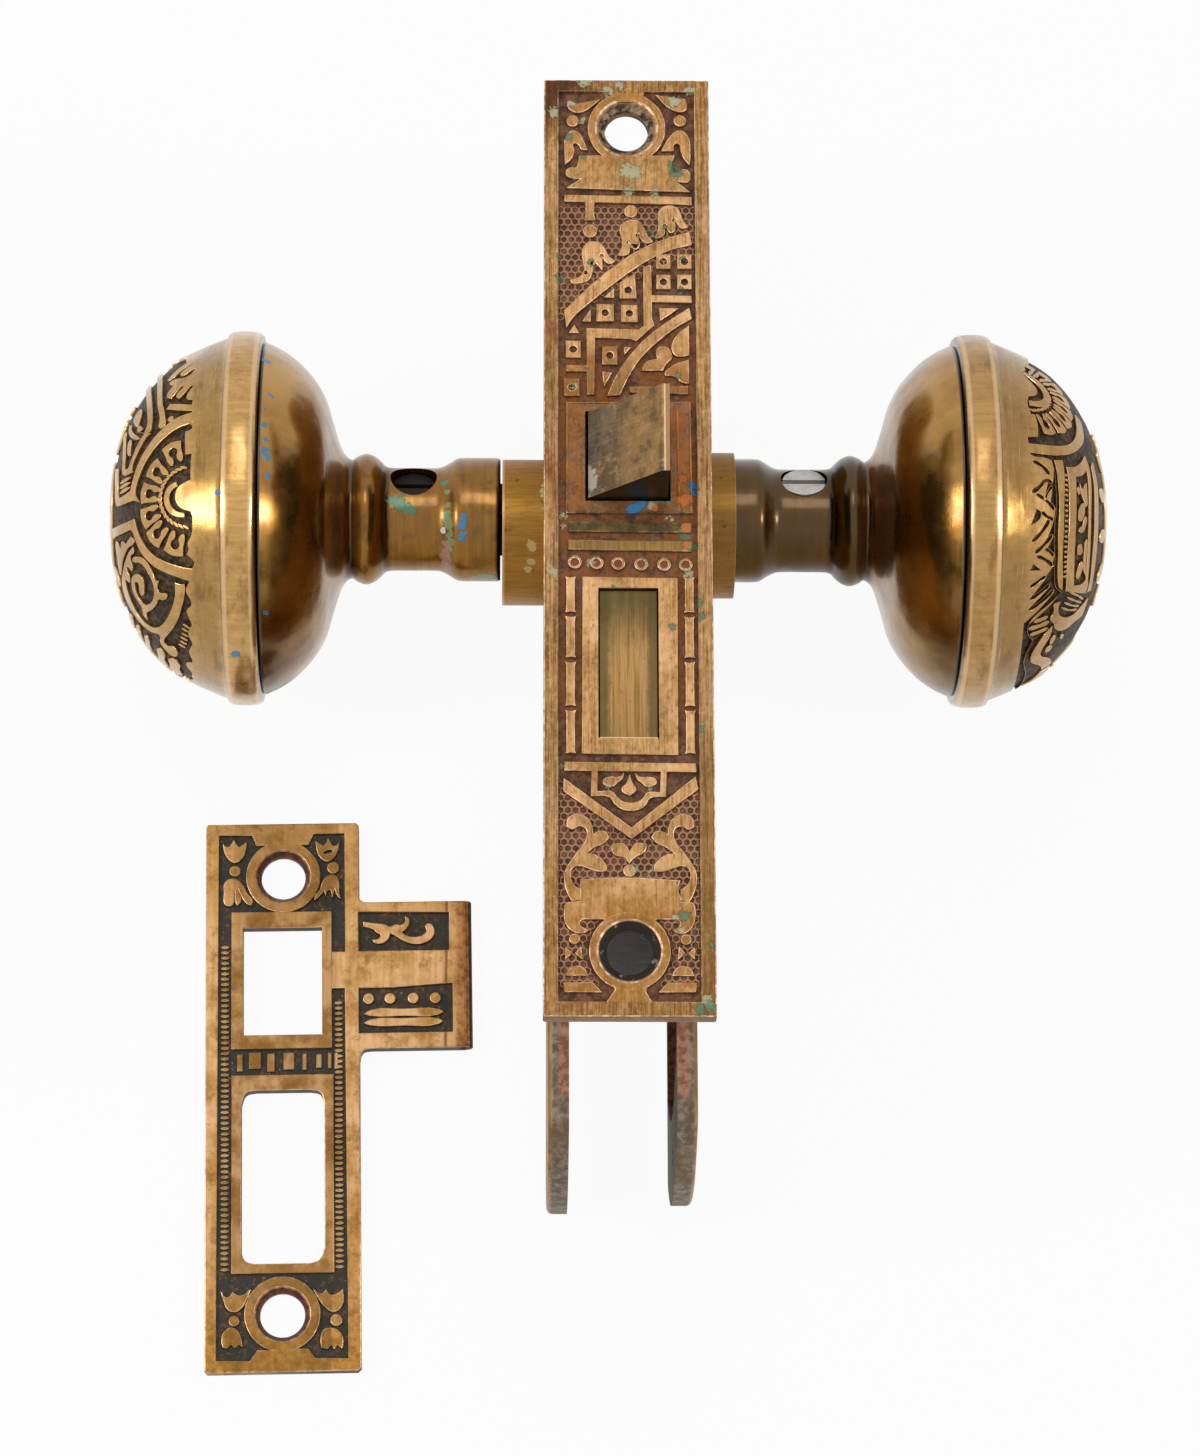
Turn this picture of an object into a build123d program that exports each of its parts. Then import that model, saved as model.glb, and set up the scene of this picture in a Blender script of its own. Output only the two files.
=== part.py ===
from build123d import *
from math import cos, radians, sin
import os

os.makedirs("parts", exist_ok=True)

# A mortise lockset with a pair of knobs, two door plates and its strike, in millimetres.
# X runs along the knob spindle, Y along the lock's front towards its upper end, and Z out of
# the front. The lock stands on the rear edge of its case, on the table at Z = 0. A reach is a
# distance from the spindle's axis towards the front.

# Lock front
front_length = 139.7
front_width = 23.8
front_thick = 3.2
front_corner = 0.6
ground_depth = 0.55
side_border = 2.15
end_border = 1.9
screw_top_y = 62.3
screw_bottom_y = -60.6
screw_hole_r = 3.15
countersink_r = 4.5
screw_ring_r = 5.7
panel_margin = 0.35
upper_panel_y = 55.3
upper_panel_height = 6.1
lower_panel_y = -53.4
lower_panel_height = 5.7
bar_height = 1.2
upper_bar_y = 51.2
hinge_bar_y = 0.6
rail_bar_y = -2.1
foot_bar_y = -34.2
rail_bar_height = 1.05
latch_frame_side = 2.8
latch_frame_top = 1.2
latch_frame_foot = 2.1
bolt_frame_side = 2.4
bolt_frame_end = 1.9

# Lock case
backset = 57.15
case_top_y = 43.0
case_bottom_y = -45.9
case_thick = 14.8
case_wall = 2.2
case_floor = 1.65
cover_thick = 1.65
case_front_wall = 3.0
case_corner = 3.0
plate_gap = 0.05

# Knobs, and the way they lie
spindle_y = 22.6
knob_r = 28.575
knob_lift = 0.15
left_rim_x = -56.9
right_rim_x = 53.7
knob_wall = 1.7
dome_height = 20.8
shoulder_u = 18.4
shoulder_r = 14.4
turn_u = 12.25
turn_r = 22.8
band_half = 2.5
band_crown = 0.25
band_step = 0.7
seam_u = -2.75
back_u = -9.4
back_r = 22.6
heel_u = -13.5
heel_r = 13.8
groove_u = -16.0
groove_r = 9.1
bead_u = -18.2
bead_r = 10.0
neck_u = -21.6
neck_r = 7.9
neck_end_u = -29.2
shank_r = 9.45
shank_u = -32.2
shank_end_u = -38.8

# Spindle, set screws and hub
spindle_size = 7.9
spindle_fit = 0.1
socket_depth = 27.0
screw_angle = 35.0
set_screw_u = -25.6
set_screw_r = 2.1
set_screw_head_r = 3.3
set_screw_head = 1.5
left_screw_seat = 4.6
right_screw_seat = 5.7
hub_journal_r = 7.5
running_fit = 0.05
hub_flange_r = 9.3
hub_flange_x = 2.8
horn_reach = 14.3
horn_tip_r = 2.2
horn_start_x = -2.8
side_gap = 0.3

# Latch bolt
latch_y = 11.83
latch_height = 12.9
latch_thick = 11.2
latch_throw = 11.5
latch_rear_reach = 37.275
latch_tip_flat = 1.1
latch_opening_height = 13.5
latch_opening_width = 12.05
yoke_thick = 2.4
yoke_rear_reach = -14.725
yoke_bar_height = 6.4
yoke_arm_gap = 0.6
yoke_lap = 8.0
lug_gap = 0.2
lug_reach = 15.4
lug_inner = 7.9
lug_dish = 0.75
lug_rise = 3.4
lug_slope = 5.5

# Dead bolt
bolt_y = -18.95
bolt_height = 21.6
bolt_thick = 8.0
bolt_throw = 10.5
bolt_recess = 0.8
bolt_rear_reach = 29.275
bolt_opening_height = 22.0
bolt_opening_width = 8.4
bolt_fit = 0.15
tail_thick = 3.0
tail_top_y = -11.5
tail_bottom_y = -27.0
tail_rear_reach = -20.725
guide_r = 2.0
guide_reach = 21.275
guide_y = -19.0
guide_fit = 0.15
notch_depth = 2.2
notch_width = 2.8
stud_r = 1.2
stud_reach = -2.725
stud_gap = 0.2
talon_reach = -5.225
talon_width = 11.0
talon_depth = 3.1

# Tumbler
tumbler_thick = 1.5
tumbler_gap = 0.3
pivot_y = -4.0
pivot_reach = 27.275
pivot_r = 1.7
pivot_ring_r = 3.6
arm_top = -4.6
arm_bottom = -10.6
arm_rear_reach = -10.725
belly_front_reach = 7.275
belly_rear_reach = -7.225
belly_lead = 6.0

# Keyhole
key_drop = 57.15
key_r = 3.3
key_slot = 2.8
key_length = 9.6
key_sweep = 8.6

# Door plates
plate_length = 165.1
plate_width = 44.45
plate_thick = 3.0
plate_arch = 7.0
plate_edge = 0.9
plate_hollow = 1.5
plate_rim = 2.6
plate_pad = 12.6
knob_to_foot = 105.1
collar_r = 11.15
collar_bore_r = 10.45
collar_height = 6.9
left_stand_off = 0.5
right_stand_off = 0.2
left_hang = 2.1
right_hang = 0.85
plate_screw_inset = 7.5
plate_screw_r = 2.2
plate_countersink_r = 4.0

# Strike
strike_x = -51.1
strike_y = -61.2
strike_turn = 1.02
strike_length = 86.0
strike_width = 23.8
strike_thick = 2.4
strike_border = 1.9
strike_screw_y = 34.6
strike_hole_r = 3.4
strike_countersink_r = 4.25
strike_ring_r = 5.8
strike_ground = 0.5
latch_hole_y = 17.8
latch_hole_width = 12.2
latch_hole_height = 17.1
latch_rim = 1.7
latch_rim_end = 2.6
bolt_hole_y = -12.9
bolt_hole_width = 12.7
bolt_hole_height = 27.0
bolt_hole_corner = 2.4
bolt_rim = 1.6
bolt_rim_end = 2.0
lip_reach = 17.3
lip_height = 24.0
lip_y = 18.2
lip_border = 1.4
lip_roll = 2.0
lip_band_y = 1.5
lip_band = 5.4

# Springs, pins and screws
wire_d = 0.9
spring_r = 2.6
spring_turns = 6
spring_y = 15.4
spring_x = 0.8
spring_post_reach = 15.275
spring_post_thick = 2.5
spigot_length = 3.0
rivet_r = 1.0
rivet_fit = 0.05
front_rivet_r = 2.0
front_rivet_head_r = 3.4
front_rivet_head = 1.4
front_rivet_bite = 2.0
front_rivet_y = [27.5, -38.5]
cover_post_y = 0.5
cover_post_reach = 16.275
cover_post_r = 2.6
cover_screw_r = 1.5
cover_screw_head_r = 2.9
cover_screw_depth = 6.0
leaf_thick = 0.5
leaf_foot = 3.0
leaf_rise = 5.0

# Places that follow from the sizes above
spindle_z = knob_r + knob_lift
latch_rear_z = spindle_z + latch_rear_reach
yoke_rear_z = spindle_z + yoke_rear_reach
bolt_rear_z = spindle_z + bolt_rear_reach
tail_rear_z = spindle_z + tail_rear_reach
guide_z = spindle_z + guide_reach
stud_z = spindle_z + stud_reach
talon_z = spindle_z + talon_reach
pivot_z = spindle_z + pivot_reach
arm_rear_z = spindle_z + arm_rear_reach
belly_front_z = spindle_z + belly_front_reach
belly_rear_z = spindle_z + belly_rear_reach
spring_post_z = spindle_z + spring_post_reach
cover_post_z = spindle_z + cover_post_reach
front_z = spindle_z + backset
seat_z = front_z - front_thick
case_half = case_thick / 2
floor_x = -case_half + case_floor
cover_x = case_half - cover_thick
case_height = case_top_y - case_bottom_y
case_mid_y = (case_top_y + case_bottom_y) / 2
key_y = spindle_y - key_drop
spindle_hole_r = spindle_size / 2**0.5 + max(left_hang, right_hang) + side_gap
yoke_bar_y = spring_y - spring_r - wire_d / 2 - side_gap - yoke_bar_height / 2
ground_z = front_z - ground_depth
screw_ys = [screw_top_y, screw_bottom_y]


def key_profile(center_y, radius, slot):
    """A round-topped keyhole in the plane of the case's side."""
    with Locations((center_y, spindle_z)):
        Circle(radius)
    with Locations((center_y - key_length / 2, spindle_z)):
        Rectangle(key_length, slot)


# Front: a cast plate with a sunk ground inside a plain border. The rings round the screws, the
# frames round the bolts, the panels and the bars stand up to the level of the border.
with BuildPart() as faceplate:
    with BuildSketch(Plane.XY.offset(seat_z)):
        RectangleRounded(front_width, front_length, front_corner)
    extrude(amount=front_thick)
    inner_width = front_width - 2 * side_border
    with BuildSketch(Plane.XY.offset(ground_z)):
        Rectangle(inner_width, front_length - 2 * end_border)
        with Locations(*[(0, y) for y in screw_ys]):
            Circle(screw_ring_r, mode=Mode.SUBTRACT)
        for y, height in (
            (upper_panel_y, upper_panel_height),
            (lower_panel_y, lower_panel_height),
            (upper_bar_y, bar_height),
            (hinge_bar_y, bar_height + panel_margin * 2),
            (rail_bar_y, rail_bar_height),
            (foot_bar_y, bar_height),
        ):
            with Locations((0, y)):
                Rectangle(inner_width - 2 * panel_margin, height, mode=Mode.SUBTRACT)
        frame_top = latch_y + latch_opening_height / 2 + latch_frame_top
        frame_foot = latch_y - latch_opening_height / 2 - latch_frame_foot
        with Locations((0, (frame_top + frame_foot) / 2)):
            Rectangle(
                latch_opening_width + 2 * latch_frame_side,
                frame_top - frame_foot,
                mode=Mode.SUBTRACT,
            )
        with Locations((0, bolt_y)):
            Rectangle(
                bolt_opening_width + 2 * bolt_frame_side,
                bolt_opening_height + 2 * bolt_frame_end,
                mode=Mode.SUBTRACT,
            )
    extrude(amount=ground_depth, mode=Mode.SUBTRACT)
    with BuildSketch(Plane.XY.offset(seat_z)):
        with Locations((0, latch_y)):
            Rectangle(latch_opening_width, latch_opening_height)
        with Locations((0, bolt_y)):
            Rectangle(bolt_opening_width, bolt_opening_height)
    extrude(amount=front_thick, mode=Mode.SUBTRACT)
    with Locations(*[Location((0, y, front_z)) for y in screw_ys]):
        CounterSinkHole(screw_hole_r, countersink_r)
    with Locations(*[Location((0, y, seat_z), (180, 0, 0)) for y in front_rivet_y]):
        Hole(front_rivet_r + rivet_fit, depth=front_rivet_bite + rivet_fit)
faceplate.part.label = "faceplate"
export_step(faceplate.part, "parts/faceplate.step")

# Case: a cast iron tray whose open side takes the cover. Its front wall lets both bolts
# through, and its floor carries the posts for the springs, the cover screw and the tail.
post_top_x = cover_x - plate_gap
tail_x = floor_x + bolt_fit
tumbler_x = tail_x + tail_thick + tumbler_gap
with BuildPart() as case_body:
    with BuildSketch(Plane.YZ.offset(-case_half)) as outline:
        with Locations((case_mid_y, seat_z / 2)):
            Rectangle(case_height, seat_z)
        fillet(outline.vertices().group_by(Axis.Z)[0], case_corner)
    extrude(amount=case_thick - cover_thick)
    cavity_depth = seat_z - case_wall - case_front_wall
    with BuildSketch(Plane.YZ.offset(floor_x)):
        with Locations((case_mid_y, case_wall + cavity_depth / 2)):
            Rectangle(case_height - 2 * case_wall, cavity_depth)
    extrude(amount=cover_x - floor_x, mode=Mode.SUBTRACT)
    with BuildSketch(Plane.YZ.offset(floor_x)):
        with Locations((cover_post_y, cover_post_z)):
            Circle(cover_post_r)
        with Locations((spring_y, spring_post_z + spring_post_thick / 2)):
            Rectangle(2 * spring_r + wire_d, spring_post_thick)
    extrude(amount=post_top_x - floor_x)
    with BuildSketch(Plane.YZ.offset(floor_x)):
        with Locations((guide_y, guide_z)):
            Circle(guide_r)
    extrude(amount=bolt_fit + tail_thick)
    with BuildSketch(Plane.XY.offset(seat_z - case_front_wall)):
        with Locations(((cover_x + floor_x) / 2, latch_y)):
            Rectangle(cover_x - floor_x, latch_opening_height)
        with Locations((0, bolt_y)):
            Rectangle(bolt_opening_width, bolt_opening_height)
    extrude(amount=case_front_wall, mode=Mode.SUBTRACT)
    with BuildSketch(Plane.YZ.offset(-case_half)):
        with Locations((spindle_y, spindle_z)):
            Circle(hub_journal_r + running_fit)
        key_profile(key_y, key_r, key_slot)
        with Locations((pivot_y, pivot_z)):
            Circle(pivot_r + rivet_fit)
    extrude(amount=case_floor, mode=Mode.SUBTRACT)
    with Locations(*[Location((0, y, seat_z)) for y in front_rivet_y]):
        Hole(front_rivet_r + rivet_fit, depth=case_front_wall)
    with BuildSketch(Plane.YZ.offset(post_top_x)):
        with Locations((cover_post_y, cover_post_z)):
            Circle(cover_screw_r + rivet_fit)
    extrude(amount=-cover_screw_depth, mode=Mode.SUBTRACT)
case_body.part.label = "case_body"
export_step(case_body.part, "parts/case_body.step")

# Cover: a flat iron plate on the open side, held by one countersunk screw.
with BuildPart() as case_cover:
    with BuildSketch(Plane.YZ.offset(cover_x)) as outline:
        with Locations((case_mid_y, seat_z / 2)):
            Rectangle(case_height, seat_z)
        fillet(outline.vertices().group_by(Axis.Z)[0], case_corner)
        with Locations((spindle_y, spindle_z)):
            Circle(hub_journal_r + running_fit, mode=Mode.SUBTRACT)
    extrude(amount=cover_thick)
    with BuildSketch(Plane.YZ.offset(cover_x)):
        key_profile(key_y, key_r, key_slot)
    extrude(amount=cover_thick, mode=Mode.SUBTRACT)
    with BuildSketch(Plane.YZ.offset(cover_x)):
        with Locations((cover_post_y, cover_post_z)):
            Circle(cover_screw_r + rivet_fit)
    with BuildSketch(Plane.YZ.offset(case_half)):
        with Locations((cover_post_y, cover_post_z)):
            Circle(cover_screw_head_r + rivet_fit)
    loft(mode=Mode.SUBTRACT)
case_cover.part.label = "case_cover"
export_step(case_cover.part, "parts/case_cover.step")

# Cover screw: a countersunk head with a slot, in the post of the case.
with BuildPart() as cover_screw:
    with BuildSketch(Plane.YZ.offset(cover_x)):
        with Locations((cover_post_y, cover_post_z)):
            Circle(cover_screw_r)
    with BuildSketch(Plane.YZ.offset(case_half)):
        with Locations((cover_post_y, cover_post_z)):
            Circle(cover_screw_head_r)
    loft()
    with BuildSketch(Plane.YZ.offset(cover_x)):
        with Locations((cover_post_y, cover_post_z)):
            Circle(cover_screw_r)
    extrude(amount=rivet_fit - cover_screw_depth)
    with BuildSketch(Plane.YZ.offset(case_half)):
        with Locations((cover_post_y, cover_post_z)):
            Rectangle(2 * cover_screw_head_r, cover_screw_r / 2)
    extrude(amount=-cover_screw_r / 2, mode=Mode.SUBTRACT)
cover_screw.part.label = "cover_screw"
export_step(cover_screw.part, "parts/cover_screw.step")

# Front rivets: two rivets from inside the case, peened into the back of the front.
with BuildPart() as front_rivets:
    with BuildSketch(Plane.XY.offset(seat_z - case_front_wall)):
        with Locations(*[(0, y) for y in front_rivet_y]):
            Circle(front_rivet_r)
    extrude(amount=case_front_wall + front_rivet_bite)
    with BuildSketch(Plane.XY.offset(seat_z - case_front_wall)):
        with Locations(*[(0, y) for y in front_rivet_y]):
            Circle(front_rivet_head_r)
    extrude(amount=-front_rivet_head, taper=15)
front_rivets.part.label = "front_rivets"
export_step(front_rivets.part, "parts/front_rivets.step")

# Hub: it turns in the case's floor and cover, with a flange inside the cover and a horn above
# and below the spindle.
hub_end_x = case_half - plate_gap * 2
with BuildPart() as hub:
    with BuildSketch(Plane.YZ.offset(-hub_end_x)):
        with Locations((spindle_y, spindle_z)):
            Circle(hub_journal_r)
    extrude(amount=2 * hub_end_x)
    with BuildSketch(Plane.YZ.offset(hub_flange_x)):
        with Locations((spindle_y, spindle_z)):
            Circle(hub_flange_r)
    extrude(amount=cover_x - plate_gap * 4 - hub_flange_x)
    with BuildSketch(Plane.YZ.offset(horn_start_x)):
        with Locations((spindle_y, spindle_z)):
            Rectangle(2 * horn_reach, 2 * horn_tip_r)
        with Locations(
            (spindle_y + horn_reach, spindle_z), (spindle_y - horn_reach, spindle_z)
        ):
            Circle(horn_tip_r)
    extrude(amount=hub_flange_x - side_gap - horn_start_x)
    with BuildSketch(Plane.YZ.offset(-hub_end_x)):
        with Locations(Location((spindle_y, spindle_z), 90 - screw_angle)):
            Rectangle(spindle_size + 2 * spindle_fit, spindle_size + 2 * spindle_fit)
    extrude(amount=2 * hub_end_x, mode=Mode.SUBTRACT)
hub.part.label = "hub"
export_step(hub.part, "parts/hub.step")

# Spindle: a square bar through the hub, with both ends in the shanks.
left_end_x = left_rim_x - shank_end_u
right_end_x = right_rim_x + shank_end_u
spindle_start_x = left_end_x - socket_depth + spindle_fit
spindle_stop_x = right_end_x + socket_depth - spindle_fit
with BuildPart() as spindle:
    with BuildSketch(Plane.YZ.offset(spindle_start_x)):
        with Locations(Location((spindle_y, spindle_z), 90 - screw_angle)):
            Rectangle(spindle_size, spindle_size)
    extrude(amount=spindle_stop_x - spindle_start_x)
    chamfer(spindle.faces().filter_by(Axis.X).edges(), spindle_size / 12)
spindle.part.label = "spindle"
export_step(spindle.part, "parts/spindle.step")


def dome_outline(wall):
    """The knob's dome from its crown to the band, set in by the wall."""
    crown = Vector(dome_height - wall, 0)
    shoulder = Vector(shoulder_u - wall, shoulder_r - wall / 2)
    turn = Vector(turn_u - wall * 0.8, turn_r - wall * 0.7)
    edge = Vector(band_half, knob_r - band_crown - band_step - wall)
    first = TangentArc(crown, shoulder, tangent=(0, 1))
    second = TangentArc(shoulder, turn, tangent=first % 1)
    TangentArc(turn, edge, tangent=second % 1)
    return crown, edge


def knob_planes(rim_x, side):
    """A plane whose x axis points out of the knob's face from the middle of its rim."""
    return Plane(origin=(rim_x, spindle_y, spindle_z), x_dir=(side, 0, 0), z_dir=(0, 0, side))


def knob_face(rim_x, side):
    """The thin cast face of a knob: the dome and the band round its rim."""
    plane = knob_planes(rim_x, side)
    axis = Axis(plane.origin, plane.x_dir)
    band_r = knob_r - band_crown
    with BuildPart() as face:
        with BuildSketch(plane):
            with BuildLine():
                crown, edge = dome_outline(0)
                Polyline(edge, (band_half, band_r))
                ThreePointArc((band_half, band_r), (0, knob_r), (-band_half, band_r))
                Polyline((-band_half, band_r), (seam_u, band_r - band_crown), (seam_u, 0), crown)
            make_face()
        revolve(axis=axis)
        with BuildSketch(plane):
            with BuildLine():
                crown, edge = dome_outline(knob_wall)
                Polyline(edge, (seam_u, edge.Y), (seam_u, 0), crown)
            make_face()
        revolve(axis=axis, mode=Mode.SUBTRACT)
    return face.part


def bowl_outline(wall):
    """The back of the knob from the seam to where it closes on the neck."""
    rim = Vector(seam_u, knob_r - band_crown - 1.4 - wall)
    side = Vector(back_u + wall * 0.7, back_r - wall * 0.7)
    heel = Vector(heel_u + wall, heel_r)
    ThreePointArc(rim, side, heel)
    return rim, heel


def knob_shank(rim_x, side, seat):
    """The hollow back of a knob with its neck, bead and shank, and the square socket."""
    plane = knob_planes(rim_x, side)
    axis = Axis(plane.origin, plane.x_dir)
    with BuildPart() as shank:
        with BuildSketch(plane):
            with BuildLine():
                rim, heel = bowl_outline(0)
                ThreePointArc(heel, (groove_u + 1.3, groove_r + 1.0), (groove_u, groove_r))
                ThreePointArc((groove_u, groove_r), (bead_u, bead_r), (neck_u + 1.2, groove_r - 0.3))
                ThreePointArc(
                    (neck_u + 1.2, groove_r - 0.3), (neck_u + 0.3, neck_r + 0.2), (neck_u, neck_r)
                )
                Line((neck_u, neck_r), (neck_end_u, neck_r))
                ThreePointArc(
                    (neck_end_u, neck_r),
                    (neck_end_u - 1.3, neck_r + 0.35),
                    (shank_u + 0.4, shank_r - 0.3),
                )
                Polyline(
                    (shank_u + 0.4, shank_r - 0.3),
                    (shank_u, shank_r),
                    (shank_end_u + 0.3, shank_r),
                    (shank_end_u, shank_r - 0.3),
                    (shank_end_u, 0),
                    (seam_u, 0),
                    rim,
                )
            make_face()
        revolve(axis=axis)
        with BuildSketch(plane):
            with BuildLine():
                rim, heel = bowl_outline(knob_wall)
                Polyline(heel, (heel.X, 0), (seam_u, 0), rim)
            make_face()
        revolve(axis=axis, mode=Mode.SUBTRACT)
        end_x = rim_x + side * shank_end_u
        with BuildSketch(Plane.YZ.offset(end_x)):
            with Locations(Location((spindle_y, spindle_z), 90 - screw_angle)):
                Rectangle(spindle_size + 2 * spindle_fit, spindle_size + 2 * spindle_fit)
        extrude(amount=side * socket_depth, mode=Mode.SUBTRACT)
        with BuildSketch(screw_plane(rim_x, side)):
            Circle(set_screw_r + rivet_fit)
        extrude(amount=knob_r / 2, mode=Mode.SUBTRACT)
        with BuildSketch(screw_plane(rim_x, side).offset(seat)):
            Circle(set_screw_head_r + rivet_fit * 5)
        extrude(amount=knob_r / 2, mode=Mode.SUBTRACT)
    return shank.part


def screw_plane(rim_x, side):
    """A plane on the spindle's axis that looks out along the set screw."""
    direction = (0, sin(radians(screw_angle)), cos(radians(screw_angle)))
    origin = (rim_x + side * set_screw_u, spindle_y, spindle_z)
    return Plane(origin=origin, x_dir=(1, 0, 0), z_dir=direction)


def set_screw(rim_x, side, seat):
    """A short screw with a slotted head, which bears on a flat of the spindle."""
    plane = screw_plane(rim_x, side)
    bearing = spindle_size / 2 + rivet_fit
    with BuildPart() as screw:
        with BuildSketch(plane.offset(bearing)):
            Circle(set_screw_r)
        extrude(amount=seat + rivet_fit - bearing)
        with BuildSketch(plane.offset(seat + rivet_fit)):
            Circle(set_screw_head_r)
        extrude(amount=set_screw_head)
        with BuildSketch(plane.offset(seat + rivet_fit + set_screw_head)):
            Rectangle(2 * set_screw_head_r, set_screw_r / 2)
        extrude(amount=-set_screw_head / 2, mode=Mode.SUBTRACT)
    return screw.part


for name, rim_x, side, seat in (
    ("left", left_rim_x, -1, left_screw_seat),
    ("right", right_rim_x, 1, right_screw_seat),
):
    pieces = {
        "knob_face": knob_face(rim_x, side),
        "knob_shank": knob_shank(rim_x, side, seat),
        "set_screw": set_screw(rim_x, side, seat),
    }
    for piece, solid in pieces.items():
        solid.label = name + "_" + piece
        export_step(solid, "parts/" + solid.label + ".step")

# Latch bolt: a bronze head with its slope on the left, cut away behind for the yoke.
latch_tip_z = front_z + latch_throw
latch_top_y = latch_y + latch_height / 2
latch_half = latch_thick / 2
yoke_x = floor_x + bolt_fit
yoke_top_x = yoke_x + yoke_thick
lap_z = latch_rear_z + yoke_lap
with BuildPart() as latch_head:
    with BuildSketch(Plane((0, latch_top_y, 0), x_dir=(1, 0, 0), z_dir=(0, -1, 0))):
        with BuildLine():
            Polyline(
                (-latch_half, latch_rear_z),
                (latch_half, latch_rear_z),
                (latch_half, latch_tip_z),
                (latch_half - latch_tip_flat, latch_tip_z),
                (-latch_half, front_z + lug_gap),
                close=True,
            )
        make_face()
    extrude(amount=latch_height)
    with BuildSketch(Plane.YZ.offset(-latch_half)):
        with Locations((yoke_bar_y, (latch_rear_z + lap_z) / 2)):
            Rectangle(yoke_bar_height + 2 * plate_gap, yoke_lap)
        with Locations((yoke_bar_y - yoke_bar_height / 2, (latch_rear_z + lap_z) / 2)):
            Rectangle(yoke_bar_height, yoke_lap)
    extrude(amount=yoke_top_x + plate_gap + latch_half, mode=Mode.SUBTRACT)
    with BuildSketch(Plane.YZ.offset(yoke_top_x)):
        with Locations(
            (yoke_bar_y, latch_rear_z + yoke_lap / 4),
            (yoke_bar_y, latch_rear_z + 3 * yoke_lap / 4),
        ):
            Circle(rivet_r + rivet_fit)
    extrude(amount=latch_half, mode=Mode.SUBTRACT)
    with BuildSketch(Plane.XY.offset(latch_rear_z)):
        with Locations((spring_x, spring_y)):
            Circle(spring_r - wire_d)
    extrude(amount=-spigot_length)
latch_head.part.label = "latch_head"
export_step(latch_head.part, "parts/latch_head.step")

# Latch yoke: an iron strip that runs back under the hub and round behind it, with a lug
# behind each horn. The dished face of a lug keeps in step with the horn as the hub turns.
lug_front_z = spindle_z - horn_tip_r - 2 * lug_gap
yoke_bottom_y = yoke_bar_y - yoke_bar_height / 2
arm_front_z = spindle_z - hub_journal_r - yoke_arm_gap


def lug_outline(sign):
    """A lug below or above the hub, its inner slope clear of the hub's barrel."""
    outer = spindle_y + sign * lug_reach
    knee = spindle_y + sign * lug_inner
    inner = knee - sign * lug_rise
    Polyline(
        (knee, lug_front_z),
        (inner, lug_front_z - lug_slope),
        (inner, yoke_rear_z),
        (outer, yoke_rear_z),
        (outer, lug_front_z),
    )
    ThreePointArc(
        (outer, lug_front_z),
        ((outer + knee) / 2, lug_front_z - lug_dish),
        (knee, lug_front_z),
    )


with BuildPart() as latch_yoke:
    with BuildSketch(Plane.YZ.offset(yoke_x)):
        bar_length = lap_z - plate_gap - yoke_rear_z
        with Locations((yoke_bar_y, yoke_rear_z + bar_length / 2)):
            Rectangle(yoke_bar_height, bar_length)
        arm_top_y = spindle_y + lug_reach
        arm_depth = arm_front_z - yoke_rear_z
        with Locations(((yoke_bottom_y + arm_top_y) / 2, yoke_rear_z + arm_depth / 2)):
            Rectangle(arm_top_y - yoke_bottom_y, arm_depth)
        with BuildLine():
            lug_outline(1)
        make_face()
        with Locations(
            (yoke_bar_y, latch_rear_z + yoke_lap / 4),
            (yoke_bar_y, latch_rear_z + 3 * yoke_lap / 4),
        ):
            Circle(rivet_r + rivet_fit, mode=Mode.SUBTRACT)
    extrude(amount=yoke_thick)
    with BuildSketch(Plane.YZ.offset(yoke_x)):
        for sign in (-1, 1):
            with BuildLine():
                lug_outline(sign)
            make_face()
    extrude(amount=hub_flange_x - side_gap - yoke_x)
latch_yoke.part.label = "latch_yoke"
export_step(latch_yoke.part, "parts/latch_yoke.step")

# Latch rivets: two rivets that hold the yoke to the head.
with BuildPart() as latch_rivets:
    with BuildSketch(Plane.YZ.offset(yoke_x)):
        with Locations(
            (yoke_bar_y, latch_rear_z + yoke_lap / 4),
            (yoke_bar_y, latch_rear_z + 3 * yoke_lap / 4),
        ):
            Circle(rivet_r)
    extrude(amount=yoke_thick + latch_half - plate_gap)
latch_rivets.part.label = "latch_rivets"
export_step(latch_rivets.part, "parts/latch_rivets.step")

# Latch spring: a coil between the post of the case and the head, round the head's spigot.
spring_start_z = spring_post_z + spring_post_thick + wire_d / 2 + rivet_fit
spring_stop_z = latch_rear_z - wire_d / 2 - rivet_fit
spring_pitch = (spring_stop_z - spring_start_z) / spring_turns
quarters = [(1, 0), (0, 1), (-1, 0), (0, -1)]
with BuildPart() as latch_spring:
    with BuildLine() as coil:
        for half in range(2 * spring_turns):
            points = []
            for step in range(3):
                quarter = 2 * half + step
                turn_x, turn_y = quarters[quarter % 4]
                height = spring_start_z + quarter * spring_pitch / 4
                points.append(
                    (spring_x + spring_r * turn_x, spring_y + spring_r * turn_y, height)
                )
            ThreePointArc(*points)
    with BuildSketch(Plane(origin=coil.wires()[0] @ 0, z_dir=coil.wires()[0] % 0)):
        Circle(wire_d / 2)
    sweep(path=coil.wires()[0])
latch_spring.part.label = "latch_spring"
export_step(latch_spring.part, "parts/latch_spring.step")
print("latch spring: least gap between turns", round(spring_pitch - wire_d, 2), "mm")

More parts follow.
